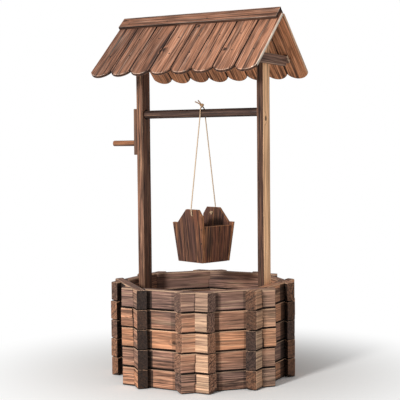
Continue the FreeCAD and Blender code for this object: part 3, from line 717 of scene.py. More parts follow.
def notches(on_top):
    """The cutter for the two half laps of a log."""
    cutter = bmesh.new()
    width = LOG_THICKNESS + 2 * LAP_PLAY
    for side in (-1, 1):
        made = bmesh.ops.create_cube(cutter, size=1)["verts"]
        bmesh.ops.scale(cutter, vec=(width, 5 * LOG_THICKNESS, LOG_HEIGHT), verts=made)
        height = (LOG_HEIGHT if on_top else 0) + (-LAP_PLAY if on_top else LAP_PLAY) / 2
        move = Matrix.Translation((side * HALF_SIDE, 0, height - LOG_HEIGHT / 2)) @ turned("Z", side * TURN)
        bmesh.ops.transform(cutter, matrix=move, verts=made)
    return cutter


print("the laps of a log are", round(2 * HALF_SIDE / MM), "mm apart")

# %% [markdown]
# The front of the tub is known best, so its logs have their tone and burn listed, from the ground up. The
# corners have theirs too: how sooty the end faces are, how bare the stubs past the laps are, with painted
# light on one stub that the lamp leaves in shade, and how far the painted shadow of each nook runs on along
# the wall.

# %% Soot, saw marks, painted shade and painted highlights of the logs
FRONT_LEFT, FRONT, FRONT_RIGHT, RIGHT = 135, 180, 225, 270
SEEN_LOGS = {
    FRONT: [(0.5, 1.0), (0.5, 0.9), (0.0, 0.6), (0.55, 0.75), (1.3, 0.75)],
    FRONT_RIGHT: [(0.8, 1.0), (0.6, 0.7), (0.0, 0.6), (0.5, 0.8), (1.0, 0.5)],
}
END_SOOT = {112.5: -0.5, 157.5: -0.96, 202.5: -0.42, 247.5: -0.75, 292.5: -0.7}
# How bare each stub is; the stub of the right wall by the front-right corner is painted light, as the lamp
# leaves it in shade.
END_BARE_AND_LIT = {(157.5, 1): -0.05, (202.5, -1): 0.6, (202.5, 1): 0.0, (247.5, -1): 0.25, (247.5, 1): 0.6}
# Each nook's outer face gets a painted shadow in soot colour, from this far along the wall.
NOOK_SHADOWS = {(FRONT_LEFT, 1): (0.0, -0.93), (FRONT, 1): (40 * MM, -0.85), (FRONT, -1): (27 * MM, -0.35),
         (FRONT_RIGHT, 1): (32 * MM, -0.5), (FRONT_RIGHT, -1): (45 * MM, -0.4), (RIGHT, -1): (30 * MM, -0.8)}
USUAL_NOOK_SHADOW = (42 * MM, -0.4)
JOINT_SOOT_AND_SHADE = -0.92
MOST_SOOT = -0.98
# Upper rounded edges: wear with a painted highlight.
TOP_EDGE_WEAR_AND_HIGHLIGHT = 0.5
OUTER_HALF = (WALL_APOTHEM + LOG_THICKNESS / 2) * math.tan(math.radians(TURN / 2))


def log_treatment_and_painted_light(wall_angle, draw, on_rim):
    """How a log's faces were left, painted shade and light included, from the corners its two ends reach."""
    soot, stub_bare_and_lit = {}, {}
    for hand in (-1, 1):
        corner = wall_angle - hand * TURN / 2
        soot[hand] = max(MOST_SOOT, END_SOOT.get(corner, -0.5) + draw.uniform(-0.07, 0.07))
        stub_bare_and_lit[hand] = END_BARE_AND_LIT.get((corner, hand), 0.05) * (0.5 if on_rim else 1) + draw.uniform(-0.1, 0.1)

    def treat(normal, at):
        hand = 1 if at.x > 0 else -1
        nook, nook_shadow = NOOK_SHADOWS.get((wall_angle, hand), USUAL_NOOK_SHADOW)
        at_end = abs(at.x) > OUTER_HALF
        # Upper rounded edges, and the top of the rim, are worn and carry a painted highlight.
        if 0.2 < normal.z < 0.9 and (on_rim or normal.z < 0.6):
            return TOP_EDGE_WEAR_AND_HIGHLIGHT
        # Joint faces, the lower rounded edges and the laps get soot and painted shade.
        if normal.z < -0.2 or normal.z > 0.6 and not on_rim:
            return JOINT_SOOT_AND_SHADE
        if abs(normal.x) > 0.3 and not at_end:
            return JOINT_SOOT_AND_SHADE
        if abs(normal.x) > 0.88:
            return soot[hand]
        # A stub is bare outside, with painted light on one, and has soot and painted shade inside.
        if at_end and abs(normal.y) > 0.6:
            return stub_bare_and_lit[hand] if normal.y > 0 else JOINT_SOOT_AND_SHADE
        # The outer face beyond a nook's start gets its painted shadow.
        return nook_shadow if abs(at.x) > nook and normal.y > 0.6 else None
    return treat


print("tone and burn by hand on", sum(len(wall) for wall in SEEN_LOGS.values()), "logs")

# %% A log
LOG_LENGTH = 2 * (HALF_SIDE + LOG_OVERHANG)
END_SLANT = 22.5
JOINT = 2.2 * MM
SHRINKAGE = 0.8 * MM
LOG_EDGE = 3.4 * MM
END_EDGE = 2.4 * MM
FOOT_CUT = 6 * MM


def runs_along(edge):
    """Whether an edge runs along the grain."""
    return abs((edge.verts[0].co - edge.verts[1].co).normalized().x) > 0.9


def log(name, notch_on_top, course, wall_angle, tone, burn):
    """One log of the tub, on the bench, with its outer face towards +Y."""
    draw = random.Random(name + " shape")
    bm = block(LOG_LENGTH - draw.uniform(0.2, 2) * MM, LOG_THICKNESS - SHRINKAGE, LOG_HEIGHT - JOINT)
    for vert in bm.verts:
        vert.co.x -= math.copysign(1, vert.co.x) * vert.co.y * math.tan(math.radians(END_SLANT))
    for hand in (-1, 1) if course == 0 else ():
        saw(bm, (hand * (LOG_LENGTH / 2 - FOOT_CUT), 0, -LOG_HEIGHT / 2), (hand, 0, -1), trim=True)
    bmesh.ops.recalc_face_normals(bm, faces=bm.faces)
    cut_across(bm, 26 * MM)
    round_edges(bm, LOG_EDGE, chosen=runs_along)
    round_edges(bm, END_EDGE, segments=2)
    bm = carve(bm, notches(notch_on_top))
    # Cuts across where the stubs begin and where each nook's painted shadow begins.
    for hand in (-1, 1):
        for place in (OUTER_HALF, NOOK_SHADOWS.get((wall_angle, hand), USUAL_NOOK_SHADOW)[0]):
            saw(bm, (hand * place, 0, 0), ALONG)
    bend(bm, 0.9 * MM, name)
    return season(bm, name, log_treatment_and_painted_light(wall_angle, draw, course == COURSES - 1), tone, burn)


print("a log is", round(LOG_LENGTH / MM), "mm long")

# %% The five courses
LOG_PLAY = 1.1 * MM
END_PLAY = 2.2 * MM


def log_group(course, notch_on_top):
    """The four like logs of one course, each carried to its wall."""
    group = f"course_{course + 1}_{'lower' if notch_on_top else 'upper'}_logs"
    boards = []
    for wall in range(SIDES // 2):
        name = f"{group}_{wall}"
        draw = random.Random(name + " place")
        wall_angle = 90 * wall + (0 if notch_on_top else TURN)
        tone, burn = SEEN_LOGS.get(wall_angle, [(None, None)] * COURSES)[course]
        angle = wall_angle + draw.uniform(-0.25, 0.25)
        inset = draw.uniform(0, 1) * LOG_PLAY
        slide = draw.uniform(-1, 1) * END_PLAY
        middle_height = (course + 0.5) * LOG_HEIGHT
        move = turned("Z", angle) @ Matrix.Translation((slide, WALL_APOTHEM - inset, middle_height))
        boards.append(placed(log(name, notch_on_top, course, wall_angle, tone, burn), move))
    stand(group, boards, "log_fir", "frame", group.replace("_logs", "_timber"))


for course_index in range(COURSES):
    for on_top in (True, False):
        log_group(course_index, on_top)

# %% [markdown]
# ## The floor of the tub
# Plain slats on three bearers carry the pots or the soil and let water out. They are cut to the octagon,
# and that cut is made with one plane for each side of the tub.

# %% Floor of the tub
BEARER = (24 * MM, 30 * MM)
BEARER_OFFSET = 80 * MM
SLAT_COUNT = 6
SLAT_WIDTH = 60 * MM
SLAT_GAP = 6 * MM
SLAT_THICKNESS = 10 * MM
FLOOR_PLAY = 2.5 * MM
FLOOR_EDGE = 1 * MM
INNER_FACE = WALL_APOTHEM - LOG_THICKNESS / 2
POST_THICKNESS = 22 * MM
POST_INNER_FACE = INNER_FACE - POST_THICKNESS


def floor_bearer(side):
    """One bearer: the middle one ends at the posts, the others at the walls."""
    reach = INNER_FACE if side else POST_INNER_FACE
    bm = block(2 * reach - MM, BEARER[0], BEARER[1])
    round_edges(bm, FLOOR_EDGE, segments=2)
    season(bm, f"bearer {side}")
    return placed(bm, Matrix.Translation((0, side * BEARER_OFFSET, BEARER[1] / 2)))


def floor_slat(index):
    """One slat, cut to the octagon inside the walls."""
    bm = block(2 * INNER_FACE, SLAT_WIDTH, SLAT_THICKNESS)
    middle_place = (index - (SLAT_COUNT - 1) / 2) * (SLAT_WIDTH + SLAT_GAP)
    for side in range(SIDES):
        out = turned("Z", side * TURN) @ Vector((1, 0, 0))
        bench_out = Vector((out.y, -out.x, 0))
        at = bench_out * (INNER_FACE - FLOOR_PLAY) - Vector((0, -middle_place, 0))
        saw(bm, at, bench_out, trim=True)
    bmesh.ops.recalc_face_normals(bm, faces=bm.faces)
    round_edges(bm, FLOOR_EDGE, segments=2)
    season(bm, f"slat {index}")
    height = BEARER[1] + SLAT_THICKNESS / 2
    return placed(bm, Matrix.Translation((middle_place, 0, height)) @ turned("Z", 90))


bearers = [floor_bearer(side) for side in (-1, 0, 1)]
stand("floor_bearers", bearers, "floor_fir", "frame", "bearer_timber")
stand("floor_slats", [floor_slat(index) for index in range(SLAT_COUNT)], "floor_fir", "frame", "slat_timber")

# %% [markdown]
# ## Posts and gable ties
# The two posts run from the ground to the gable, where they are cut to the pitch of the roof. The windlass
# turns in a hole through the left post and in a blind hole in the right one; round the bore the post has soot
# and painted shade. The right post was ripped from a wider plank after the flame, so its outer face is pale,
# with painted light on top of that.

# %% Posts
GABLE_HEIGHT = 1118.4 * MM
ROOF_PITCH = 41
POST_WIDTH = 50 * MM
POST_EDGE = 1.6 * MM
# Left and right post: how the outside and the front were left. The right post's pale outside also carries
# painted light.
POST_FACES = {-1: (0.2, 0.02), 1: (1.0, -0.55)}
# Soot and painted shade round the bore.
BORE_SOOT_AND_SHADE = -0.95
BAR_HEIGHT = 829.5 * MM
BAR_RADIUS = 13.5 * MM
BEARING_RADIUS = 14 * MM
BEARING_DEPTH = 14 * MM
RIM_CUT = 2.2 * MM


def side_matrix(side):
    """From the bench to an upright board on the left, or half a turn round to the right."""
    return turned("Z", 180 if side > 0 else 0) @ turned("Y", -90)


def post_treatment_and_painted_light(outside, front):
    """A post's faces: soot and painted shade round the bore, the outside and the front by saw or flame."""
    def treat(normal, at):
        near_bore = abs(at.x - BAR_HEIGHT) < BEARING_RADIUS + 2 * RIM_CUT
        if near_bore and max(abs(part) for part in normal) < 0.995:
            return BORE_SOOT_AND_SHADE
        if normal.z > 0.7:
            return outside
        return front if abs(normal.y) > 0.9 else None
    return treat


def post(name, side):
    """A post with its gable cut and its bearing hole, on the bench with its foot at X = 0 and outside up."""
    bm = block(GABLE_HEIGHT, POST_WIDTH, POST_THICKNESS)
    bmesh.ops.translate(bm, vec=(GABLE_HEIGHT / 2, 0, 0), verts=bm.verts)
    for hand in (-1, 1):
        slope = Vector((math.cos(math.radians(ROOF_PITCH)), hand * math.sin(math.radians(ROOF_PITCH)), 0))
        saw(bm, (GABLE_HEIGHT, 0, 0), slope, trim=True)
    bmesh.ops.recalc_face_normals(bm, faces=bm.faces)
    cut_across(bm, 60 * MM)
    round_edges(bm, POST_EDGE, chosen=lambda edge: all(vert.co.x > MM for vert in edge.verts))
    depth = 0 if side < 0 else -1.5 * POST_THICKNESS + BEARING_DEPTH
    bm = drill(bm, (BAR_HEIGHT, 0, depth), 2 * POST_THICKNESS, BEARING_RADIUS)
    rim = -POST_THICKNESS / 2 - RIM_CUT
    bm = drill(bm, (BAR_HEIGHT, 0, rim + RIM_CUT), 2 * RIM_CUT, BEARING_RADIUS + 2 * RIM_CUT, BEARING_RADIUS)
    bend(bm, 0.5 * MM, name, wave=0.2)
    season(bm, name, treat=post_treatment_and_painted_light(*POST_FACES[side]), tone=0.6, burn=0.95)
    return placed(bm, side_matrix(side) @ Matrix.Translation((0, 0, INNER_FACE - POST_THICKNESS / 2)))


print("a post is", round(GABLE_HEIGHT / MM), "mm tall")

# %% Gable ties
TIE_SIZE = (232 * MM, 30 * MM, 18 * MM)
TIE_DROP = 142.4 * MM
TIE_MIDDLE = GABLE_HEIGHT - TIE_DROP + TIE_SIZE[1] / 2


def gable_tie(name, side):
    """A tie on the outside of a post, on the bench along X, then turned to lie front to back."""
    bm = plank(name, TIE_SIZE, 40 * MM, POST_EDGE, bow=0.5 * MM)
    place = Matrix.Translation((TIE_MIDDLE, 0, INNER_FACE + TIE_SIZE[2] / 2))
    return placed(bm, side_matrix(side) @ place @ turned("Z", 90))


for hand_name, hand in (("left", -1), ("right", 1)):
    post_name, tie_name = f"{hand_name}_post", f"{hand_name}_gable_tie"
    stand(post_name, [post(post_name, hand)], "post_fir", "frame")
    stand(tie_name, [gable_tie(tie_name, hand)], "batten_fir", "frame")

# %% [markdown]
# ## The roof
# Eight boards on each slope, nailed to two battens, with their lower ends rounded on a band saw. A rounded
# end is an arc, and an arc in mesh work is one point spun about a centre. The gables were trimmed last, so
# their edges are bare, with painted light over the bare wood, but for the gable over the crank, which went
# back to the flame. The scallops' ends carry a painted shadow, and the gaps between boards soot and painted
# shade.

# %% A roof board
BOARD_PITCH = 71 * MM
BOARD_GAP = 1.6 * MM
BOARD_THICKNESS = 10 * MM
BOARD_LENGTH = 254 * MM
SCALLOP_DEPTH = 21 * MM
SCALLOP_STEPS = 14
RIDGE_PLAY = 0.5 * MM


def board_treatment_and_painted_light(gable_side, sawn_and_lit):
    """Painted light on a sawn gable, soot and painted shade between boards, painted shadow on the scallop."""
    def treat(normal, at):
        # The scallop's end gets a painted shadow, and its rounded rim painted shade.
        if at.x > BOARD_LENGTH - 3 * MM and abs(normal.z) < 0.9:
            return -0.85 if abs(normal.z) < 0.3 else -0.2
        if normal.y * gable_side > 0.2:
            return sawn_and_lit
        # The sides at the gaps between boards get soot and painted shade.
        return -0.9 if abs(normal.y) > 0.2 else None
    return treat


def roof_board(name, gable_side, sawn_and_lit, tone):
    """A roof board on the bench, its upper end at X = 0 and its outer face down."""
    draw = random.Random(name + " shape")
    half = (BOARD_PITCH - BOARD_GAP) / 2 + draw.uniform(0.15, 0.35) * MM
    length = BOARD_LENGTH - draw.uniform(0.3, 2.5) * MM
    radius = (half ** 2 + SCALLOP_DEPTH ** 2) / (2 * SCALLOP_DEPTH)
    bm = bmesh.new()
    corner = bm.verts.new((length, half, 0))
    bmesh.ops.spin(bm, geom=[corner], cent=(length + SCALLOP_DEPTH - radius, 0, 0), axis=(0, 0, 1),
                   angle=-2 * math.asin(half / radius), steps=SCALLOP_STEPS)
    bm.verts.ensure_lookup_table()
    last = min(bm.verts, key=lambda vert: vert.co.y)
    top = [bm.verts.new((RIDGE_PLAY, side * half, 0)) for side in (-1, 1)]
    for ends in ((last, top[0]), (top[0], top[1]), (top[1], corner)):
        bm.edges.new(ends)
    bmesh.ops.contextual_create(bm, geom=bm.edges[:])
    thicken(bm, BOARD_THICKNESS - draw.uniform(0.1, 0.8) * MM)
    cut_across(bm, 34 * MM)
    round_edges(bm, 1.9 * MM, segments=2)
    bend(bm, 0.7 * MM, name)
    return season(bm, name, treat=board_treatment_and_painted_light(gable_side, sawn_and_lit), tone=tone, burn=0.85 + 0.15 * tone)


print("a roof board is at most", round((BOARD_LENGTH + SCALLOP_DEPTH) / MM), "mm long")

# %% [markdown]
# The boards get paler from the crank's gable to the other one, as painted light falling across the roof, and
# the back slope is paler than the front, as painted light on its underside in the shade of the front slope.

# %% The two slopes
BOARD_COUNT = 8
FRONT_SLOPE = Matrix.Translation((0, 0, GABLE_HEIGHT)) @ turned("X", 180 + ROOF_PITCH)
SLOPES = {"front": FRONT_SLOPE, "back": turned("Z", 180) @ FRONT_SLOPE}
SAWN_AND_LIT_GABLE = {"front": 1.0, "back": 0.6}
CRANK_GABLE = 0.1
ROOF_FINISH = {"front": "roof_fir", "back": "back_roof_fir_painted_paler"}
# How brown the boards are at the crank's gable and at the other one: a painted light across the roof.
BROWNEST = {"front": 1.0, "back": 0.3}
PALEST = {"front": 0.1, "back": -0.2}

for slope_name, slope in SLOPES.items():
    for index in range(BOARD_COUNT):
        board_name = f"{slope_name}_roof_board_{index + 1}"
        draw = random.Random(board_name + " place")
        middle_place = (index - (BOARD_COUNT - 1) / 2) * BOARD_PITCH
        at = Matrix.Translation((middle_place, draw.uniform(0, 1) * MM, -BOARD_THICKNESS / 2))
        move = slope @ at @ turned("Z", 90 + draw.uniform(-0.15, 0.15))
        gable_side = {0: 1, BOARD_COUNT - 1: -1}.get(index, 0)
        from_crank = index if slope_name == "front" else BOARD_COUNT - 1 - index
        share = from_crank / (BOARD_COUNT - 1)
        tone = BROWNEST[slope_name] * (1 - share) + PALEST[slope_name] * share + draw.uniform(-0.15, 0.15)
        sawn_and_lit = SAWN_AND_LIT_GABLE[slope_name] if from_crank else CRANK_GABLE
        board = placed(roof_board(board_name, gable_side, sawn_and_lit, tone), move)
        stand(board_name, [board], "roof_fir", "frame", finish=ROOF_FINISH[slope_name])

# %% [markdown]
# The two ridge boards hide the upper ends of the others and meet at an angle of 98 degrees, the front one
# over the back one. It reaches past the gable line by the thickness of the back one, and the formula for
# each reach comes from where their faces cross.

# %% Ridge caps and battens
CAP_THICKNESS = 10 * MM
CAP_WIDTH = {"front": 50 * MM, "back": 34 * MM}
CAP_INSET = 9 * MM
CAP_PLAY = 0.2 * MM
CAP_PITH = (4, -3)
PLANED = 0.3 * MM
CAP_TOP = BOARD_THICKNESS + CAP_THICKNESS
BOTH = math.radians(2 * ROOF_PITCH)
CAP_REACH = {
    "front": -(CAP_TOP - BOARD_THICKNESS * math.cos(BOTH)) / math.sin(BOTH),
    "back": (CAP_TOP * math.cos(BOTH) - BOARD_THICKNESS) / math.sin(BOTH) + CAP_PLAY,
}
ROOF_LENGTH = BOARD_COUNT * BOARD_PITCH - BOARD_GAP
BATTEN_WIDTH = 28 * MM
BATTEN_THICKNESS = 10 * MM
BATTEN_LENGTH = {"upper": 398 * MM, "lower": 486 * MM}
BATTEN_PLACES = {"upper": 95 * MM, "lower": 178 * MM}

for slope_name, slope in SLOPES.items():
    cap_name = f"{slope_name}_ridge_cap"
    size = (ROOF_LENGTH - CAP_INSET - 0.4 * MM, CAP_WIDTH[slope_name] - PLANED, CAP_THICKNESS - PLANED)
    # The ends and long edges of a cap get soot and painted shadow.
    cap = plank(cap_name, size, 45 * MM, 1.4 * MM, 2, bow=0.4 * MM, wave=0.15,
                tone=0.65, burn=1.0, pith=CAP_PITH,
                treat=lambda normal, at: -0.7 if max(abs(normal.x), abs(normal.y)) > 0.8 else None)
    centre = CAP_REACH[slope_name] + CAP_WIDTH[slope_name] / 2
    shift = -CAP_INSET / 2 if slope_name == "front" else CAP_INSET / 2
    at = Matrix.Translation((shift, centre, -BOARD_THICKNESS - CAP_THICKNESS / 2))
    stand(cap_name, [placed(cap, slope @ at)], "roof_fir", "frame")
    for row, middle_place in BATTEN_PLACES.items():
        batten_name = f"{slope_name}_{row}_batten"
        size = (BATTEN_LENGTH[row], BATTEN_WIDTH, BATTEN_THICKNESS)
        batten = plank(batten_name, size, 45 * MM, 1.2 * MM, 2,
                       treat=lambda normal, at: 1.0 if abs(normal.x) > 0.7 else None)
        at = Matrix.Translation((0, middle_place, BATTEN_THICKNESS / 2))
        stand(batten_name, [placed(batten, slope @ at)], "batten_fir", "frame")

# %% [markdown]
# ## The windlass
# A round bar turns in the posts. Its left end carries a flat arm, and the arm a round handle. The bar came
# off a dowel machine, so it is nearly straight. The bar and the handle are darker on their top and underside
# than on their sides.

# %% Windlass
CRANK_GAP = 3 * MM
ARM = (149 * MM, 38 * MM, 12 * MM)
ARM_ABOVE = 19 * MM
CRANK_THROW = 92 * MM
HANDLE_RADIUS = 9.5 * MM
HANDLE_LENGTH = 88 * MM
TURNING_LOSS = 0.2 * MM
BAR_END_PLAY = 1 * MM
BAR_ENDS = (-(INNER_FACE + CRANK_GAP), POST_INNER_FACE + BEARING_DEPTH - BAR_END_PLAY)
ARM_INSIDE = INNER_FACE + CRANK_GAP


def turned_rod(name, length, radius, tone, darker_top_and_bottom):
    """A round bar with its rims eased, its grain along X."""
    bm = rod(length, radius - TURNING_LOSS)
    round_edges(bm, 1.5 * MM, segments=2, chosen=lambda edge: edge.calc_face_angle() > math.radians(60))
    cut_across(bm, 40 * MM)
    bend(bm, 0.25 * MM, name)
    # Darker towards the top and the bottom.
    season(bm, name, treat=lambda normal, at: darker_top_and_bottom * abs(normal.z) ** 2, tone=tone)
    for face in bm.faces:
        face.smooth = abs(face.normal.x) < 0.5
    return bm


bar = turned_rod("windlass_bar", BAR_ENDS[1] - BAR_ENDS[0], BAR_RADIUS, tone=1.2, darker_top_and_bottom=-0.9)
placed(bar, Matrix.Translation((sum(BAR_ENDS) / 2, 0, BAR_HEIGHT)))
stand("windlass_bar", [bar], "windlass_fir", "windlass")

arm = plank("crank_arm", ARM, 30 * MM, 1.8 * MM, bow=0.4 * MM, tone=0.75, burn=1.0,
            treat=lambda normal, at: -0.3 if abs(normal.y) > 0.4 else None)
arm_middle = BAR_HEIGHT + ARM_ABOVE - ARM[0] / 2
placed(arm, side_matrix(-1) @ Matrix.Translation((arm_middle, 0, ARM_INSIDE + ARM[2] / 2)))
stand("crank_arm", [arm], "windlass_fir", "windlass")

grip = turned_rod("crank_handle", HANDLE_LENGTH, HANDLE_RADIUS, tone=0.1, darker_top_and_bottom=-0.45)
placed(grip, Matrix.Translation((-(ARM_INSIDE + ARM[2] + HANDLE_LENGTH / 2), 0, BAR_HEIGHT - CRANK_THROW)))
stand("crank_handle", [grip], "windlass_fir", "windlass")

# %% [markdown]
# ## The bucket
# Four boards that lean out, two of them with a raised ear for the rope, and a square bottom. Seen from
# outside, an ear slopes down to the rim on its left, and on its right only its corner is cut off. The
# boards are short, so their grain runs up and down, and they were burnt darker than the rest.

# %% Bucket boards
BUCKET_OFFSET = 4 * MM
BUCKET_YAW = -20
RIM_HEIGHT = 486 * MM
RIM_HALF = 70 * MM
LEAN = 5.6
BUCKET_DEPTH = 125 * MM
PANEL = 9 * MM
PANEL_LOSS = 0.2 * MM
EAR_HOLE = (27 * MM, 24 * MM)
EAR_HOLE_RADIUS = 3.5 * MM
EAR_HOLE_SIDES = 20
NARROWING = math.sin(math.radians(LEAN))


def panel_matrix(quarter_turns):
    """From a panel's frame, X right, Y up and Z out from the middle of its rim, to its side of the bucket."""
    return (Matrix.Translation((BUCKET_OFFSET, 0, RIM_HEIGHT)) @ turned("Z", BUCKET_YAW + 90 * quarter_turns)
            @ Matrix.Translation((0, -RIM_HALF, 0)) @ turned("X", 90 + LEAN))


def panel(name, quarter_turns, outline, tone, burn, hole=None):
    """A bucket board from its outline in the panel's frame, made on the bench with its grain up the panel."""
    bm = bmesh.new()
    bm.faces.new([bm.verts.new((up, -right, 0)) for right, up in outline])
    thicken(bm, PANEL - PANEL_LOSS)
    cut_across(bm, 24 * MM)
    round_edges(bm, 1.2 * MM, segments=2)
    if hole:
        bm = drill(bm, (hole[1], -hole[0], 0), 4 * PANEL, EAR_HOLE_RADIUS, sides=EAR_HOLE_SIDES)
    season(bm, name, treat=lambda normal, at: 0.35 if max(abs(normal.x), abs(normal.y)) > 0.4 else None,
           tone=tone, burn=burn)
    at = Matrix.Translation((0, 0, -PANEL / 2)) @ turned("Z", 90)
    return placed(bm, panel_matrix(quarter_turns) @ at)


print("the bucket narrows by", round(2 * BUCKET_DEPTH * NARROWING / MM), "mm to its bottom")

# %% Bucket
EAR_HEIGHT = 43 * MM
EAR_TOP = (-2 * MM, 56 * MM)
SHOULDER_LEFT = -47 * MM
SHOULDER_RIGHT = 19 * MM
SIDE_DROP = 10 * MM
PANEL_PLAY = 0.2 * MM
PANEL_CLEAR = PANEL / math.cos(math.radians(LEAN))
LOWER_HALF = RIM_HALF - BUCKET_DEPTH * NARROWING
EAR_OUTLINE = [(-LOWER_HALF, -BUCKET_DEPTH), (LOWER_HALF, -BUCKET_DEPTH),
               (RIM_HALF + SHOULDER_RIGHT * NARROWING, SHOULDER_RIGHT), (EAR_TOP[1], EAR_HEIGHT),
               (EAR_TOP[0], EAR_HEIGHT), (SHOULDER_LEFT, 0), (-RIM_HALF, 0)]
SIDE_AT_RIM = RIM_HALF - PANEL_CLEAR - PANEL_PLAY
SIDE_UPPER = SIDE_AT_RIM - SIDE_DROP * NARROWING
SIDE_LOWER = SIDE_AT_RIM - BUCKET_DEPTH * NARROWING
SIDE_OUTLINE = [(-SIDE_LOWER, -BUCKET_DEPTH), (SIDE_LOWER, -BUCKET_DEPTH),
                (SIDE_UPPER, -SIDE_DROP), (-SIDE_UPPER, -SIDE_DROP)]

for panel_name, quarter in (("front_ear_panel", 0), ("back_ear_panel", 2)):
    board = panel(panel_name, quarter, EAR_OUTLINE, tone=0.95, burn=0.8, hole=EAR_HOLE)
    stand(panel_name, [board], "bucket_fir", "bucket")
for panel_name, quarter in (("right_bucket_panel", 1), ("left_bucket_panel", 3)):
    board = panel(panel_name, quarter, SIDE_OUTLINE, tone=0.6, burn=0.95)
    stand(panel_name, [board], "bucket_fir", "bucket")

bottom_half = LOWER_HALF - PANEL_CLEAR - PANEL_PLAY
bottom = block(2 * bottom_half, 2 * bottom_half, PANEL)
for vert in bottom.verts:
    if vert.co.z > 0:
        vert.co.xy *= 1 + PANEL * math.tan(math.radians(LEAN)) / bottom_half
round_edges(bottom, 0.8 * MM, segments=2)
season(bottom, "bucket_bottom")
bottom_height = RIM_HEIGHT - BUCKET_DEPTH * math.cos(math.radians(LEAN)) + PANEL / 2
placed(bottom, Matrix.Translation((BUCKET_OFFSET, 0, bottom_height)) @ turned("Z", BUCKET_YAW))
stand("bucket_bottom", [bottom], "bucket_fir", "bucket")

# %% [markdown]
# ## The rope
# Jute rope of 4 mm, three strands laid round each other. A smooth line comes first, from a few chosen
# points, and the strands then wind about points read from it.

# %% A smooth line
STRAND_STEP = 1.5 * MM


def smooth_line(points, closed=False):
    """Points read at even steps from the smooth line with these control points."""
    curve = bpy.data.curves.new("line", "CURVE")
    curve.dimensions = "3D"
    spline = curve.splines.new("NURBS")
    spline.points.add(len(points) - 1)
    for point, place in zip(spline.points, points):
        point.co = (*place, 1)
    spline.order_u = 3
    spline.use_endpoint_u = not closed
    spline.use_cyclic_u = closed
    holder = bpy.data.objects.new("line", curve)
    mesh = bpy.data.meshes.new_from_object(holder)
    read = [vert.co.copy() for vert in mesh.vertices]
    bpy.data.objects.remove(holder)
    bpy.data.curves.remove(curve)
    bpy.data.meshes.remove(mesh)
    if closed:
        read.append(read[0])
    line = [read[0]]
    for start, end in zip(read, read[1:]):
        pieces = max(1, round((end - start).length / STRAND_STEP))
        line += [start.lerp(end, (piece + 1) / pieces) for piece in range(pieces)]
    return line


print("a line is read about every", STRAND_STEP / MM, "mm")

# %% Strands
ROPE_RADIUS = 2 * MM
STRANDS = 3
STRAND_RADIUS = 1.1 * MM
STRAND_SIDES = 6
STRAND_TURN = 14 * MM


def round_off(normal, side, angle):
    """The direction at an angle round a line, between its normal and its side."""
    return normal * math.cos(angle) + side * math.sin(angle)


def strand(bm, line, phase, tone):
    """One strand: a closed tube that winds about a line."""
    normal = (line[1] - line[0]).orthogonal().normalized()
    rings = []
    travelled = 0.0
    for index, place in enumerate(line):
        ahead = line[min(index + 1, len(line) - 1)] - line[max(index - 1, 0)]
        ahead.normalize()
        normal = (normal - ahead * normal.dot(ahead)).normalized()
        side = ahead.cross(normal)
        if index:
            travelled += (place - line[index - 1]).length
        turn = 2 * math.pi * (travelled / STRAND_TURN + phase)
        centre = place + round_off(normal, side, turn) * (ROPE_RADIUS - STRAND_RADIUS)
        angles = [2 * math.pi * step / STRAND_SIDES for step in range(STRAND_SIDES)]
        ring = [centre + round_off(normal, side, angle) * STRAND_RADIUS for angle in angles]
        rings.append([bm.verts.new(corner) for corner in ring])
    made = [bm.faces.new(reversed(rings[0])), bm.faces.new(rings[-1])]
    for near, far in zip(rings, rings[1:]):
        for step in range(STRAND_SIDES):
            following = (step + 1) % STRAND_SIDES
            made.append(bm.faces.new((near[step], near[following], far[following], far[step])))
    finish = bm.faces.layers.float_vector["finish"]
    for face in made:
        face[finish] = (tone, 0, 0)
        face.smooth = True


def rope(points, tone=0.0, closed=False):
    """Three strands laid about the smooth line with these control points."""
    bm = bmesh.new()
    bm.faces.layers.float_vector.new("finish")
    line = smooth_line(points, closed)
    for index in range(STRANDS):
        strand(bm, line, index / STRANDS, tone)
    bmesh.ops.recalc_face_normals(bm, faces=bm.faces)
    return bm


print("a rope has", STRANDS, "strands and is", 2 * ROPE_RADIUS / MM, "mm thick")

# %% [markdown]
# Each leg of the rope runs taut from the side of the bar to an ear. It is 305 mm long at rest.

# %% The two legs
ROPE_GAP = 0.3 * MM
BAR_MIDDLE = Vector((BUCKET_OFFSET, 0, BAR_HEIGHT))
BAR_SIDE = BAR_RADIUS + ROPE_GAP + ROPE_RADIUS


def ear_place(quarter_turns, up, out):
    """A point on the line through an ear's hole, this far above the rim and out from the ear's face."""
    return panel_matrix(quarter_turns) @ Vector((EAR_HOLE[0], up, out))


for leg_name, quarter, side in (("front_rope_leg", 0, -1), ("back_rope_leg", 2, 1)):
    top = BAR_MIDDLE + Vector((0, side * BAR_SIDE, 0))
    bottom = ear_place(quarter, EAR_HEIGHT + ROPE_RADIUS + 3 * ROPE_GAP, ROPE_RADIUS + ROPE_GAP)
    top = top + (bottom - top).normalized() * 2 * ROPE_GAP
    route = [top.lerp(bottom, share) for share in (0, 0.3, 0.7, 1)]
    leg = stand(leg_name, [rope(route)], "jute_rope", "rope_sling", f"{leg_name}_jute")
    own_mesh(leg)
    smooth_line(route)

# %% [markdown]
# A knot is a trefoil, the simplest real one: the rope wound through itself three times. One holds the rope
# inside each ear, and over the bar the two legs join in another, with two short ends.

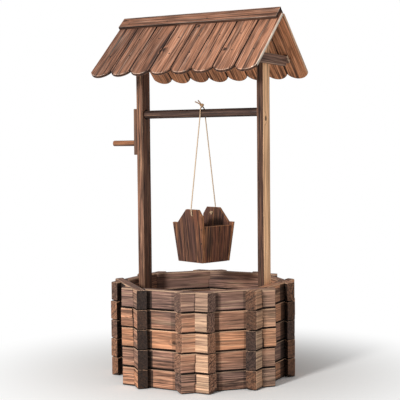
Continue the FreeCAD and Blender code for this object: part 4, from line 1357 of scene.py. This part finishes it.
# %% Knots of the rope
KNOT_POINTS = 24
KNOT_SIZE = 2.0 * MM
STOPPER_SIZE = 1.5 * MM


def knot(middle, size, tone):
    """A small round knot."""
    points = []
    for index in range(KNOT_POINTS):
        angle = 2 * math.pi * index / KNOT_POINTS
        points.append(middle + size * Vector((math.sin(angle) + 2 * math.sin(2 * angle),
                                              0.8 * math.sin(3 * angle),
                                              math.cos(angle) - 2 * math.cos(2 * angle))))
    return rope(points, tone, closed=True)


ears = []
inside = -PANEL - ROPE_GAP - 5 * MM
for quarter in (0, 2):
    route = [ear_place(quarter, EAR_HEIGHT + ROPE_RADIUS, ROPE_RADIUS + ROPE_GAP),
             ear_place(quarter, EAR_HOLE[1] + 9 * MM, ROPE_RADIUS + ROPE_GAP),
             ear_place(quarter, EAR_HOLE[1], ROPE_RADIUS + ROPE_GAP),
             ear_place(quarter, EAR_HOLE[1], -4 * MM),
             ear_place(quarter, EAR_HOLE[1], inside)]
    ears.append(rope(route))
    ears.append(knot(ear_place(quarter, EAR_HOLE[1], inside), STOPPER_SIZE, 0.35))
stand("ear_ropes", ears, "jute_rope", "bucket", "ear_rope_jute")

# %% The knot over the bar
KNOT_MIDDLE = Vector((-2, -1, 25)) * MM
LOOSE_ENDS = (Vector((-22, -10, 37)), Vector((-13, -6, 41)))

parts = [knot(BAR_MIDDLE + KNOT_MIDDLE, KNOT_SIZE, 0.8)]
for side in (-1, 1):
    route = [Vector((0, side * BAR_SIDE, 0)), Vector((0, side * BAR_SIDE, 9 * MM)),
             Vector((-1 * MM, side * 11 * MM, 17 * MM)), KNOT_MIDDLE]
    parts.append(rope([BAR_MIDDLE + place for place in route], 0.3 if side < 0 else 0.8))
for end in LOOSE_ENDS:
    route = [KNOT_MIDDLE, KNOT_MIDDLE.lerp(end * MM, 0.5) + Vector((0, 0, 1.5 * MM)), end * MM]
    parts.append(rope([BAR_MIDDLE + place for place in route], 1.0))
stand("rope_knot", parts, "jute_rope", "rope_sling", "rope_knot_jute")
